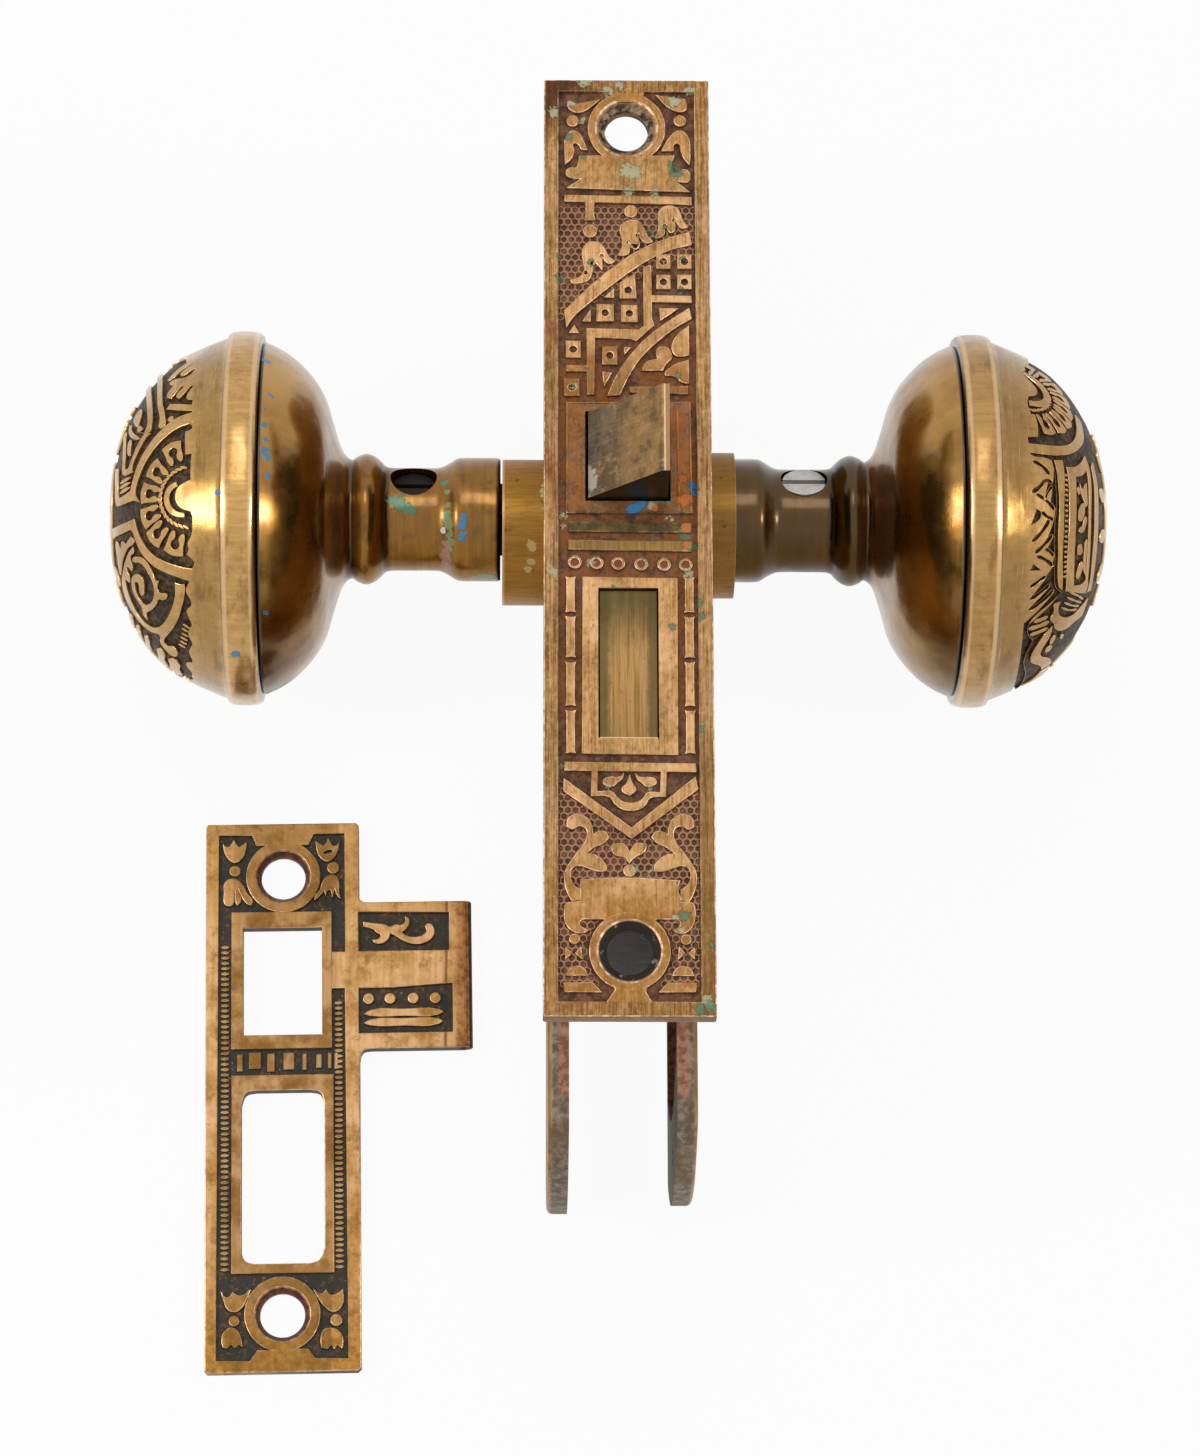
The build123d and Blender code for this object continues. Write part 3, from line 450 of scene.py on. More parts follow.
hinge_bars = (
    drawn("-8.32,1.91| 8.98,1.78| 8.9,0.3| -8.32,0.44|"),
    drawn("-8.42,-0.81| 9.06,-0.95| 8.95,-2.52| -8.42,-2.28|"),
)
ring_spots = drawn("-7.5,-4.1 -4.44,-4.2 -1.42,-4.28 1.83,-4.36 5.03,-4.41 8.09,-4.44")
foot_bar = drawn("-9.02,-33.44| 9.29,-33.62| 9.38,-34.95| -9.02,-34.76|")
ogee = drawn("""
    -5.22,-34.4| -5.32,-38.5| -2.75,-38.6 -2.12,-39.5 -1.05,-40.31 0.11,-40.55 1.28,-40.4
    2.25,-39.79 2.94,-38.75 5.1,-38.55| 5.29,-34.5| 4.4,-34.5| 4.25,-37.84| 2.45,-37.88
    1.87,-38.68 1.09,-39.19 0.11,-39.34 -0.95,-39.1 -1.73,-38.4 -2.2,-37.8 -4.4,-37.69|
    -4.34,-34.4|""")
petal_side = drawn("""
    -0.65,-34.95| -1.3,-35.55 -2.79,-35.6 -3.5,-35.9 -3.67,-36.45 -3.2,-36.97 -2.25,-37.07
    -1.62,-36.56 -0.9,-35.9""")
petal_middle = drawn("0.1,-35| -0.3,-36.36 -1.1,-37.5 0.08,-38.42| 1,-37.45 0.42,-36.35")
chevron = drawn("-9.1,-35.78| 0.29,-42.9| 9.25,-35.5| 9.62,-37.4| 0.33,-44.61| -9.17,-37.7|")
scroll = drawn("""
    -8.71,-42.87| -8.5,-41.6 -7.29,-40.93 -5.91,-41.43 -5.13,-42.67 -4.97,-43.9| -4.17,-43.43
    -3.3,-43.5 -2.7,-44.33| -3.49,-45.23 -4.75,-45.81 -5.78,-46.62| -4.64,-46.85 -3.5,-47.78
    -3.05,-48.73 -3.16,-49.25| -4.41,-49.28 -5.67,-48.85 -6.93,-48.5 -7.73,-48.74 -8.07,-49.57
    -7.96,-50.52 -7.5,-51.3 -6.7,-51.8| -6.7,-53.3| -7.96,-53.64| -8.6,-52.42 -9,-50.9
    -8.94,-49.34 -8.3,-48 -7.15,-46.38 -6.12,-44.81 -5.89,-43.62 -6.3,-42.95 -7.15,-42.85
    -7.84,-43.25""")
heart = drawn("""
    -2.44,-45.28| -0.8,-45.23 -0.3,-45.7 0,-46.34| 0.4,-45.7 0.86,-45.22 2.4,-45.26| 2.35,-46.1
    1.66,-46.81 0.74,-47.29 0,-48.18| -0.75,-47.29 -2.01,-46.94 -2.51,-46.11""")
lower_panel = drawn("""
    -6.8,-50.33| 0.16,-50.09 7.1,-50.5| 6.75,-51.5 7.2,-53.5| 8.75,-53.75 9.1,-55.1 8.87,-56.67
    8.07,-57.83 6.7,-58.12 5.75,-57.6| 6.5,-57.3 6.93,-56.7 6.48,-56.12| 3.74,-56.11| 3.1,-56.9|
    1.7,-56.15 0.05,-55.9 -1.6,-56.15 -3,-56.9| -3.64,-56.11| -6.38,-56.12| -6.83,-56.7 -6.3,-57.3
    -5.55,-57.6| -6.48,-58.12 -8,-57.73 -8.87,-56.67 -9.03,-55.25 -8.8,-53.84 -7.9,-53.6|
    -6.85,-53.4|""")
glass_outer = drawn("-8.87,-59.96| -7.85,-60.85| -8.87,-61.89|")
glass_inner = drawn("-6.66,-59.84| -7.57,-60.9| -6.44,-61.88|")
dome_foot = drawn("-8.71,-64.14| -8.42,-63.25 -7.28,-62.66 -6.16,-63.13 -5.65,-64.11|")
bar_foot = drawn("-9.14,-65.01| -5.08,-65| -3.72,-66.47| -8.98,-66.43|")
neck_foot = drawn("-3.54,-68.23| 3.36,-68.33| 2.25,-66.38| 2.5,-65.3| -2.4,-65.3| -2.06,-66.04|")


def front_figure(outlines, drop=0.0, edge=0.14):
    """A figure on the front's ground, with its top this far under the border's."""
    return flat_shape(outlines, ground_z - 0.3, front_z - drop, edge)


def column(x):
    """One upright of the bolt's frame, in lengths whose ends flare where they meet."""
    return [
        front_figure([sharp([
            (x - 0.8, high), (x, high - 0.16), (x + 0.8, high), (x + 0.62, high - 0.55),
            (x + 0.62, low + 0.55), (x + 0.8, low), (x, low + 0.16), (x - 0.8, low),
            (x - 0.62, low + 0.55), (x - 0.62, high - 0.55),
        ])], 0.01)
        for high, low in ((-6.24, -11.62), (-12.1, -18.3), (-18.8, -25.4), (-25.9, -32.3))
    ]


screw_bore = 3.15
cut_x, cut_y = half_x - corner_cut, half_y - corner_cut
slab_outline = sharp([
    (cut_x, half_y), (-cut_x, half_y), (-half_x, cut_y), (-half_x, -cut_y), (-cut_x, -half_y),
    (cut_x, -half_y), (half_x, -cut_y), (half_x, cut_y),
])
latch_opening = box_line(-6.025, 5.08, 6.025, 18.58)
bolt_opening = box_line(-4.2, -29.95, 4.2, -7.95)
slab = [slab_outline, latch_opening, bolt_opening]
front_shapes = [
    plate(slab, screw_spots, screw_bore, seat_z, sink_z + 0.02, 0.08),
    plate(slab, screw_spots, 4.6, sink_z - 0.02, ground_z, 0.03),
    front_figure([slab_outline, box_line(-9.8, -67.72, 9.76, 68.0)], 0, 0.16),
]
sink = drawn("0,4.9 0,3.15 0.25,3.16 1.33,4.46 1.38,4.9 0,4.9")
for x, y in screw_spots:
    front_shapes.append(turned(sink, (x, y, sink_z - 0.03), (0, 0, 1), 64))
flowers = (
    (flower_low, flower_eyes[:3]),
    (flower_middle, flower_eyes[3:5]),
    (flower_high, flower_eyes[5:]),
)
raised = [
    *[[round_line(0.02, y, 5.62, 16), round_line(0.02, y, 4.45, 16)] for _, y in screw_spots],
    [upper_panel], [upper_bar], [stem], [round_line(-5.29, 46.18, 1.02)],
    [round_line(0.57, 49.3, 0.98)],
    *[[flower, *[round_line(x, y, 0.26, 8) for x, y in eyes]] for flower, eyes in flowers],
    [bell_left], [bell_right], [leaf_left], [leaf_right], [round_line(7.73, 63.48, 0.9)],
    [round_line(-7.79, 63.39, 0.9)], [arc_high], [arc_low], [fret], [band_high], [band_low],
    [leaf_corner], [lobe_corner], [fan_corner], [bar_corner], *[[bar] for bar in hinge_bars],
    [foot_bar], [ogee], [petal_side], [mirrored(petal_side, 0.08)], [petal_middle], [chevron],
    [scroll], [mirrored(scroll, 0.15)], [heart], [round_line(0.02, -49.12, 0.9)],
    [round_line(-7.6, -58.9, 0.75)], [round_line(7.75, -58.95, 0.75)],
    [glass_outer], [glass_inner], [mirrored(glass_outer, 0.05)], [mirrored(glass_inner, 0.05)],
    [dome_foot], [mirrored(dome_foot, 0.05)], [bar_foot], [mirrored(bar_foot, 0.05)],
    *[[wedge] for wedge in wedges],
]
for place, outlines in enumerate(raised):
    front_shapes.append(front_figure(outlines, 0.018 - 0.006 * (place % 3)))
for outline in (lower_panel, neck_foot, drawn("-2.7,68.9| 2.9,68.9| 2.3,66.4| -2.2,66.4|")):
    front_shapes.append(front_figure([outline], 0.022))
for x0, y0, x1, y1 in studs:
    pit = round_line((x0 + x1) / 2, (y0 + y1) / 2, 0.5, 8)
    front_shapes.append(front_figure([box_line(x0, y0, x1, y1), pit]))
front_shapes.append(front_figure([stud_cut, round_line(0.15, 37.1, 0.5, 8)]))
for x, y in ring_spots:
    front_shapes += [
        front_figure([round_line(x, y, 0.98), round_line(x, y, 0.55)], 0.05),
        front_figure([round_line(x, y, 0.6, 8)], 0.3, 0.05),
    ]
latch_rim = drawn("-8.71,19.95| 8.96,20.04| 9.09,3.21| -8.72,3.17|")
latch_rim_inner = drawn("-8.45,19.7| 8.7,19.78| 8.82,3.47| -8.46,3.43|")
latch_groove = drawn("6.9,19.7| 7.15,19.7| 7.35,3.5| 7.1,3.5|")
bolt_rim = drawn("-6.45,-6.28| 6.95,-6.43| 6.87,-32.47| -6.58,-32.31|")
front_shapes += [
    front_figure([latch_rim, latch_opening], 0.17, 0.08),
    flat_shape([latch_rim, latch_rim_inner], ground_z, front_z - 0.03, 0.06),
    flat_shape([latch_groove], ground_z, front_z - 0.04, 0.06),
    front_figure([bolt_rim, bolt_opening]),
    *column(-8.1), *column(8.55),
]


def honeycomb(spots, floor, rise=0.2):
    """A net of six-sided cells, one cell modelled and copied to every spot."""
    clear_selection()
    reach = comb_pitch / math.sqrt(3)
    bpy.ops.mesh.primitive_circle_add(vertices=6, radius=reach, fill_type="NGON")
    cell = bpy.context.object
    bpy.ops.object.mode_set(mode="EDIT")
    bpy.ops.mesh.select_all(action="SELECT")
    bpy.ops.transform.translate(value=(0, 0, rise))
    bpy.ops.mesh.inset(thickness=0.13)
    bpy.ops.mesh.inset(thickness=0.06, depth=-rise * 0.8)
    bpy.ops.mesh.inset(thickness=0.14, depth=-rise * 0.3)
    bpy.ops.object.mode_set(mode="OBJECT")
    cells = []
    for x, y in spots:
        copy = placed("cell", cell.data.copy())
        copy.data.transform(Matrix.Translation((x, y, floor)))
        copy.data.transform(Matrix.Scale(0.001, 4))
        cells.append(copy)
    bpy.data.objects.remove(cell)
    return cells


comb_spots = []
for row in range(-80, 80):
    for place in range(-10, 11):
        x = (place + (row % 2) / 2) * comb_pitch
        y = row * comb_pitch * math.sqrt(3) / 2
        above_arc = 42.2 - 0.31 * abs(x - 9) - 0.012 * (9 - x) ** 2 < y < 50.4
        beside_scrolls = -65.5 < y < -35.5 and y < -45.3 + 1.02 * abs(x - 0.2)
        clear = min(math.dist((x, y), screw) for screw in screw_spots) > 6.0
        if abs(x) < 9.6 and clear and (above_arc or beside_scrolls):
            comb_spots.append((x, y))
lock_front = gathered("lock_front", front_shapes + honeycomb(comb_spots, ground_z - 0.02))


def old_bronze(name, clean, worn, patina, along=(1, 0.03, 1)):
    """Cast bronze that is brushed one way, with patina in blots."""
    made = Finish(name)
    streak = made.noise(1.6, 4.0, 0.65, along).rise(0.35, 0.68)
    blotch = made.noise(0.16, 5.0, 0.6, start=(3, 1, 7)).rise(0.42, 0.66)
    small = made.noise(0.9, 3.0, 0.6, start=(9, 4, 2)).rise(0.5, 0.75)
    body = made.coats(
        colour(clean), (streak * 0.55, worn), (blotch * 0.55, worn), (small * blotch * 0.7, patina)
    )
    return made, body, blotch


fleck_z = 85.8
front_flecks = (
    ("C3BC94", drawn("""
        -6,69.7,1.1 -2.6,68.1,0.9 -1,69,0.7 -8,66.2,0.7 -6.4,63.6,0.8 -10.5,64.7,0.9 6.9,66.5,1.1
        9.2,68.2,0.8 0.2,55.6,1.3 1.2,55.3,1.2 0.2,52.4,1 4.1,52.1,0.8 -7.3,44.2,0.4 -7.7,22.4,0.7
        -9.2,3,0.8 -9.1,1.5,0.7 -5.3,-4,0.9 8.5,-5.6,1 5.3,2.6,0.6 6.1,2.5,0.7 3.4,4.4,0.8
        -3,-37.1,0.6 2.9,-37.3,0.6 0.6,-48.9,0.7 3,-49.1,0.6 10.6,-67.6,0.9 6.3,-56,0.6
        7.1,-57.6,0.5 -7.5,54.3,0.5 -10.5,-5.6,0.8 2.9,-4.5,0.6 -9.4,-34,0.6""")),
    ("66825E", drawn("""
        6.8,56.4,0.9 7.1,55.4,1.1 -6.2,57.7,0.5 -8.4,60.9,0.7 -5.2,41.4,0.6 3.4,46.2,0.7
        8.1,41.9,0.5 -9.6,42.3,0.6 -9.6,39,0.8 5.6,46.7,0.4 7.8,37,0.7 8.1,0.1,1.2 9,-1.5,1
        4.1,5.3,0.8 4.9,5.5,0.9 5.8,5.2,0.8 9.9,-10.1,0.7 10.1,-12.2,0.7 6.2,-13.7,0.6
        10.1,-28.6,0.6 11,-68.3,1 9.6,-68.9,0.9 7.6,-55.6,0.9 11.2,-59.6,0.5 5,21.8,0.8
        7.2,23.9,0.6 -2.1,-7.9,0.4""")),
    ("2F90C8", drawn("9.3,7.6,0.7 9.3,6.6,0.7 0.5,3.7,0.8 1.4,4.1,0.8 2.2,4.6,0.6")),
    ("D0701C", drawn("""
        8.3,1.2,1 8.3,-1.4,0.8 8,5.3,1.2 7.8,8.5,0.9 3.8,4,0.6 -7.4,-67.4,0.5 -6.2,-67.5,0.4
        7.6,-65.2,0.5 8.3,-65.3,0.4""")),
)
front_finish, front_body, front_blotch = old_bronze("front_bronze", "B68C5C", "8E6836", "62441C")
front_x, front_y, front_height = front_finish.axes()
front_up = front_finish.axes("Normal")[2]
front_cloud = front_finish.noise(0.09, 4.0, 0.6, start=(4, 4, 4))
front_smear = front_finish.noise(0.35, 4.0, 0.7, (1, 0.3, 1), (6, 2, 9))
scratch = front_finish.noise(5.0, 3.0, 0.7, (1, 0.02, 1), (1, 5, 2))
speckle = front_finish.noise(1.5, 5.0, 0.75, (1, 0.6, 1), (7, 7, 3))
rust = front_finish.noise(0.3, 5.0, 0.7, start=(8, 3, 1))
grime = front_finish.noise(0.7, 4.0, 0.65, start=(2, 8, 5))
# Fine noise, for grime and for the painted glints on the ground.
fine_grime_and_glint = front_finish.noise(1.9, 3.0, 0.65, start=(3, 9, 2))
still = front_finish.noise(0.01)

ends_zone = (front_y + front_cloud * 0.02).rise(0.062, 0.074).most(
    (front_y + front_cloud * 0.016).fall(-0.05, -0.038)
)
border_zone = abs(front_x).rise(0.0096, 0.0098).most(abs(front_y).rise(0.0677, 0.0679))
left_patch = (
    front_x.fall(-0.0098, -0.0096) * (front_y + front_smear * 0.01).rise(0.004, 0.016)
    * (front_y + grime * 0.01).fall(0.032, 0.044)
)
right_zone = front_x.rise(0.0092, 0.0102) * (front_y + front_cloud * 0.03).fall(-0.03, 0.0)
inner_zone = abs(front_x).fall(0.0088, 0.0096)
latch_zone = inner_zone * (
    (front_y + 0.004 + (grime - 0.5) * 0.01).rise(-0.003, 0.006)
    * (front_y + (grime - 0.5) * 0.012).fall(0.02, 0.031)
)
above_latch = inner_zone * front_y.rise(0.019, 0.021) * (front_y + grime * 0.01).fall(0.027, 0.037)
bars_zone = inner_zone * front_y.rise(-0.0055, -0.0035) * front_y.fall(0.003, 0.005)
high_bar = front_y.rise(-0.0009, -0.0001)
stained_corner = front_x.fall(-6e-3, -4e-3) * (
    (front_y * 0.9 - front_x + (grime - 0.5) * 0.006).rise(0.064, 0.0705)
)
latch_frame_tone = front_finish.coats(
    front_finish.mix(rust.rise(0.4, 0.6), "5A431C", "8C5A20"),
    (front_x.rise(0.006, 0.0068) * 0.7, front_finish.mix(rust.rise(0.4, 0.6), "6E3A22", "9A5C22")),
    ((front_y - rust * 0.003).fall(0.0015, 0.004) * 0.6, "2C2A18"),
)
bars_tone = front_finish.mix(
    high_bar, front_finish.mix(scratch.rise(0.4, 0.6), "6A5228", "8A6C3E"),
    front_finish.mix(grime.rise(0.4, 0.6), "34321E", "5A4A28"),
)

outer_wall = abs(front_x).rise(0.01184, 0.01187).most(abs(front_y).rise(0.06979, 0.06982))
sunk = front_height.fall(0.08560, 0.08580) * (1 - outer_wall)
# Painted shade: the lower walls of the figures darken where they meet the sunk ground.
painted_foot_shade = front_up.fall(0.2, 0.7) * sunk
# The top edges of the figures: rubbed lighter, and painted brighter still as a highlight.
rubbed_edge_highlight = front_up.fall(0.93, 0.99) * front_up.rise(0.05, 0.3) * front_height.rise(0.0856, 0.0857)
# The figures' walls just under the tops are darker in patches.
dark_wall_patches = sunk.most(front_height.fall(0.0857, 0.08584)) * (1 - outer_wall) * (1 - sunk)
rust_zone = (
    (front_y - rust * 0.02).rise(-0.044, -0.034) * (front_y + rust * 0.02).fall(0.036, 0.046)
)
hollow_tone = front_finish.coats(
    front_finish.mix(grime.rise(0.38, 0.64), "52301F", "9A6A4C"),
    (front_height.rise(0.08541, 0.08549) * 0.8, "B58666"),
    (rust_zone * rust.rise(0.36, 0.56) * 0.85, "A05E20"),
    # painted glints: light specks on the ground
    (fine_grime_and_glint.rise(0.58, 0.7) * 0.55, "B8876A"),
    (fine_grime_and_glint.fall(0.34, 0.44) * 0.7, "2A1A12"),
    (front_height.fall(0.08528, 0.08536) * 0.8, "2C1810"),
)
high_sink, low_sink = [
    (front_height < 0.0857) * front_finish.flecks([(x, y, 84.4, 4.7)], still)
    for x, y in screw_spots
]
rings = front_finish.flecks([(x, y, 85.6, 0.62) for x, y in ring_spots], still)
front_body = front_finish.coats(
    front_body,
    (scratch.rise(0.5, 0.66) * 0.7, "664420"),
    (front_smear.rise(0.5, 0.68) * 0.5, "7A562A"),
    (front_cloud.rise(0.48, 0.64) * 0.55, "CEA376"),
    (ends_zone * 0.7, "87591F"),
    (border_zone * (0.35 + front_cloud * 0.45),
     front_finish.mix(scratch.rise(0.38, 0.6), "96744A", "4A3016")),
    (speckle.rise(0.54, 0.66) * 0.62, "6A4522"),
    (speckle.fall(0.38, 0.5) * 0.25, "D2A878"),
    (left_patch * (0.2 + front_smear.rise(0.45, 0.6) * 0.6), "62381A"),
    (right_zone * 0.5, "64481F"),
    (latch_zone * (0.5 + grime * 0.7), latch_frame_tone),
    (above_latch * rust.rise(0.42, 0.6) * 0.8, "7E4E1A"),
    (bars_zone * 0.85, bars_tone),
    (stained_corner * 0.85, "3E2010"),
    (sunk * 0.95, hollow_tone),
    # painted shade at the feet of the figures
    (painted_foot_shade * 0.6, "3A2012"),
    # rubbed top edges, with a painted highlight
    (rubbed_edge_highlight * (0.25 + grime.rise(0.45, 0.6) * 0.65), "ECC8A8"),
    (dark_wall_patches * grime.fall(0.4, 0.55) * 0.6, "4A2C18"),
    (low_sink, front_finish.mix(grime.rise(0.62, 0.7), "241C12", "8A8478")),
    (high_sink, front_finish.mix(grime.rise(0.4, 0.6), "3A2C20", "B49878")),
    (rings * 0.85, "8A4422"),
)
front_body, front_paint = front_finish.painted(
    front_body, fine_grime_and_glint,
    [(text, [(x, y, fleck_z, radius) for x, y, radius in spots]) for text, spots in front_flecks],
    grime,
)
front_grain = front_finish.bump(front_finish.noise(2.2, 3.0, 0.6), 0.05, 0.35)
wear(lock_front, front_finish.close(
    Base_Color=front_body,
    Metallic=(0.9 - sunk * 0.45) * (1 - front_paint * 0.95),
    Roughness=0.38 + sunk * 0.25 + front_blotch * 0.08 + scratch * 0.1,
    Normal=front_finish.bump(front_paint * 0.3 + scratch * 0.12, 0.3, under=front_grain),
))
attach(lock_front, "case")
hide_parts("faceplate")

# The knobs: two thin cast shells each, the face crimped over the hollow back at the rim band.
# The face has a sunk ground with flush flat figures, the same sort of work as on the lock front.
# The back narrows to a bead and a neck, and ends in the shank, open for the spindle.
knob_axis_y = 22.6
knob_axis_z = 28.725
left_rim_x = -56.9
right_rim_x = 53.7
ground_drop = 0.5
ground_reach = 31.9
relief_reach = 32.4
relief_foot = -0.75
relief_edge = 0.09
net_pitch = 0.0021
crimp_out = -2.9
bead_start = -16.0
bead_end = -21.3
socket_end = -34.0
shank_end = -38.8
set_screw_out = -25.6
set_screw_tilt = math.radians(35)


def bend_profile(points, pieces=5):
    """The points of a smooth line through the given (distance, radius) pairs."""
    smooth = []
    padded = [points[0], *points, points[-1]]
    for four in zip(padded, padded[1:], padded[2:], padded[3:]):
        for step in range(pieces):
            t = step / pieces
            smooth.append(tuple(
                0.5 * (
                    2 * b + (c - a) * t + (2 * a - 5 * b + 4 * c - d) * t * t
                    + (3 * b - a - 3 * c + d) * t ** 3
                )
                for a, b, c, d in zip(*four)
            ))
    return smooth + [points[-1]]


dome = bend_profile(drawn("""
    20.8,0 20.6,3.6 20.3,7.2 19.6,10.7 18.4,14.4 17.2,16.7 15.9,18.75 14.7,20.3 13.5,21.6
    12.3,22.75 11,23.7 9.8,24.45 8.6,25.05 7.4,25.6 6.1,26.15 4.9,26.65 3.7,27.15 2.75,27.5"""))
dome_reach = [0.0]
for before, after in zip(dome, dome[1:]):
    dome_reach.append(dome_reach[-1] + math.dist(before, after))


def along_dome(reach):
    """The point of the dome's line at this length from its crown."""
    reach = min(max(reach, 0.0), dome_reach[-1] - 1e-6)
    i = max(k for k in range(len(dome_reach) - 1) if dome_reach[k] <= reach)
    part = (reach - dome_reach[i]) / (dome_reach[i + 1] - dome_reach[i])
    return [a + (b - a) * part for a, b in zip(dome[i], dome[i + 1])]


def on_dome(reach, lift):
    """Distance along the axis and radius of a point at this height over the dome."""
    here, before, after = [along_dome(reach + step) for step in (0, -0.5, 0.5)]
    slope = Vector((after[1] - before[1], before[0] - after[0])).normalized()
    if reach < 0.3:
        slope = Vector((1.0, 0.0))
    return here[0] + slope.x * lift, here[1] + slope.y * lift


def ribbon(points, width, ends=0.6):
    """The outline of a strip of this width along a line of points."""
    left, right = [], []
    for i, point in enumerate(points):
        before = points[max(i - 1, 0)]
        after = points[min(i + 1, len(points) - 1)]
        run = Vector((after[0] - before[0], after[1] - before[1])).normalized()
        half = width / 2 * (ends if i in (0, len(points) - 1) else 1)
        left.append((point[0] - run.y * half, point[1] + run.x * half))
        right.append((point[0] + run.y * half, point[1] - run.x * half))
    return left + right[::-1]


def oval(x, y, long, wide, turn):
    """A small oval outline that points at this many degrees."""
    c, s = math.cos(math.radians(turn)), math.sin(math.radians(turn))
    return [
        (x + c * long / 2 * a - s * wide / 2 * b, y + s * long / 2 * a + c * wide / 2 * b)
        for a, b in ((1, 0), (0.5, 0.87), (-0.5, 0.87), (-1, 0), (-0.5, -0.87), (0.5, -0.87))
    ]


def ovals(spots, long, wide, lean=0):
    """An oval at each spot, turned this far from the spot's own angle."""
    return [oval(x, y, long, wide, turn + lean) for x, y, turn in spots]


def keyhole_petal(x, y, middle, wide=1.0):
    """A flared block with a keyhole slot that opens toward the fan's middle."""
    toward = Vector((middle[0] - x, middle[1] - y)).normalized()
    outline = drawn("""
        -1.75,-1.6| 0,-2 1.75,-1.6| 1.45,0 1.3,1.6 0.85,2.3 0.42,1.8 0.36,0.95 0.72,0.3 0.6,-0.5
        0,-0.85 -0.6,-0.5 -0.72,0.3 -0.36,0.95 -0.42,1.8 -0.85,2.3 -1.3,1.6 -1.45,0""")
    return [
        (x + toward.y * p[0] * wide + toward.x * p[1], y - toward.x * p[0] * wide + toward.y * p[1],
         *p[2:])
        for p in outline
    ]


def around(middle, radius, start, end, count):
    """Spots on an arc, each with its angle in degrees."""
    for i in range(count):
        turn = start + (end - start) * i / (count - 1)
        yield (
            middle[0] + radius * math.cos(math.radians(turn)),
            middle[1] + radius * math.sin(math.radians(turn)),
            turn,
        )


def along_line(points, pitch):
    """Spots at an even pitch along a line of points, each with the line's angle."""
    carried = 0.0
    for (x0, y0), (x1, y1) in zip(points, points[1:]):
        span = math.dist((x0, y0), (x1, y1))
        turn = math.degrees(math.atan2(y1 - y0, x1 - x0))
        while carried < span:
            part = carried / span
            yield x0 + (x1 - x0) * part, y0 + (y1 - y0) * part, turn
            carried += pitch
        carried -= span


def flipped(outline):
    return [(p[0], -p[1], *p[2:]) for p in outline]


left_collar = drawn("""
    30.3,0 30.4,1.9 29.4,4.2 29.3,5.6 30,6.6 29.7,7.8 28.9,9.3 28.6,11 28.5,12.3 27.3,13.6
    26.5,15.4 26.3,16.6 25.2,17.5 24,18.6 23.8,20.1 22.9,20.9 21.4,21.5 20.4,23.2| 18.8,25|
    18.5,25.6 17.9,26.3 17.1,26.3 16.2,26| 15.4,26.8 14.4,27.2 13.5,28.3 12.4,29 10.4,29.8|
    9.35,29.8| 8.5,28.6 7.3,28 6,28 4.75,28.6 4.1,29.6 3.7,31| -1.1,31.3| -1.1,30.3| -5.7,29.6|
    -5.9,30.3| -6.5,30.6 -7.3,29.7| -9.4,29.5| -9.9,29.5| -11.3,28.9| -12.5,28.5| -12.6,27.5
    -13.4,26.9 -15.9,26.7| -15.9,26.2| -14.4,26.1 -12.9,25.7| -13.3,24.9 -15.9,24.9| -15.9,24.3|
    -14.4,24.3 -13,24| -13.4,22.9 -14.6,22.3 -16.1,22.4| -16.3,21.5 -17.1,20.5| -17.8,21.4
    -17.9,22.8 -18.4,23.6 -19.8,23.7 -20.9,23.2| -20,22.8 -18.8,22.6| -18.6,21.9 -19.3,21.2
    -22.2,21.2| -22.5,20.6| -20,20.4 -18.3,20.4| -17.6,19.7 -18.6,19.1 -22.5,19| -24.3,16 -26,13
    -27.5,10 -28.6,6.5 -29.3,3 -29.4,0""")
left_fan = (7.2, 31.3)
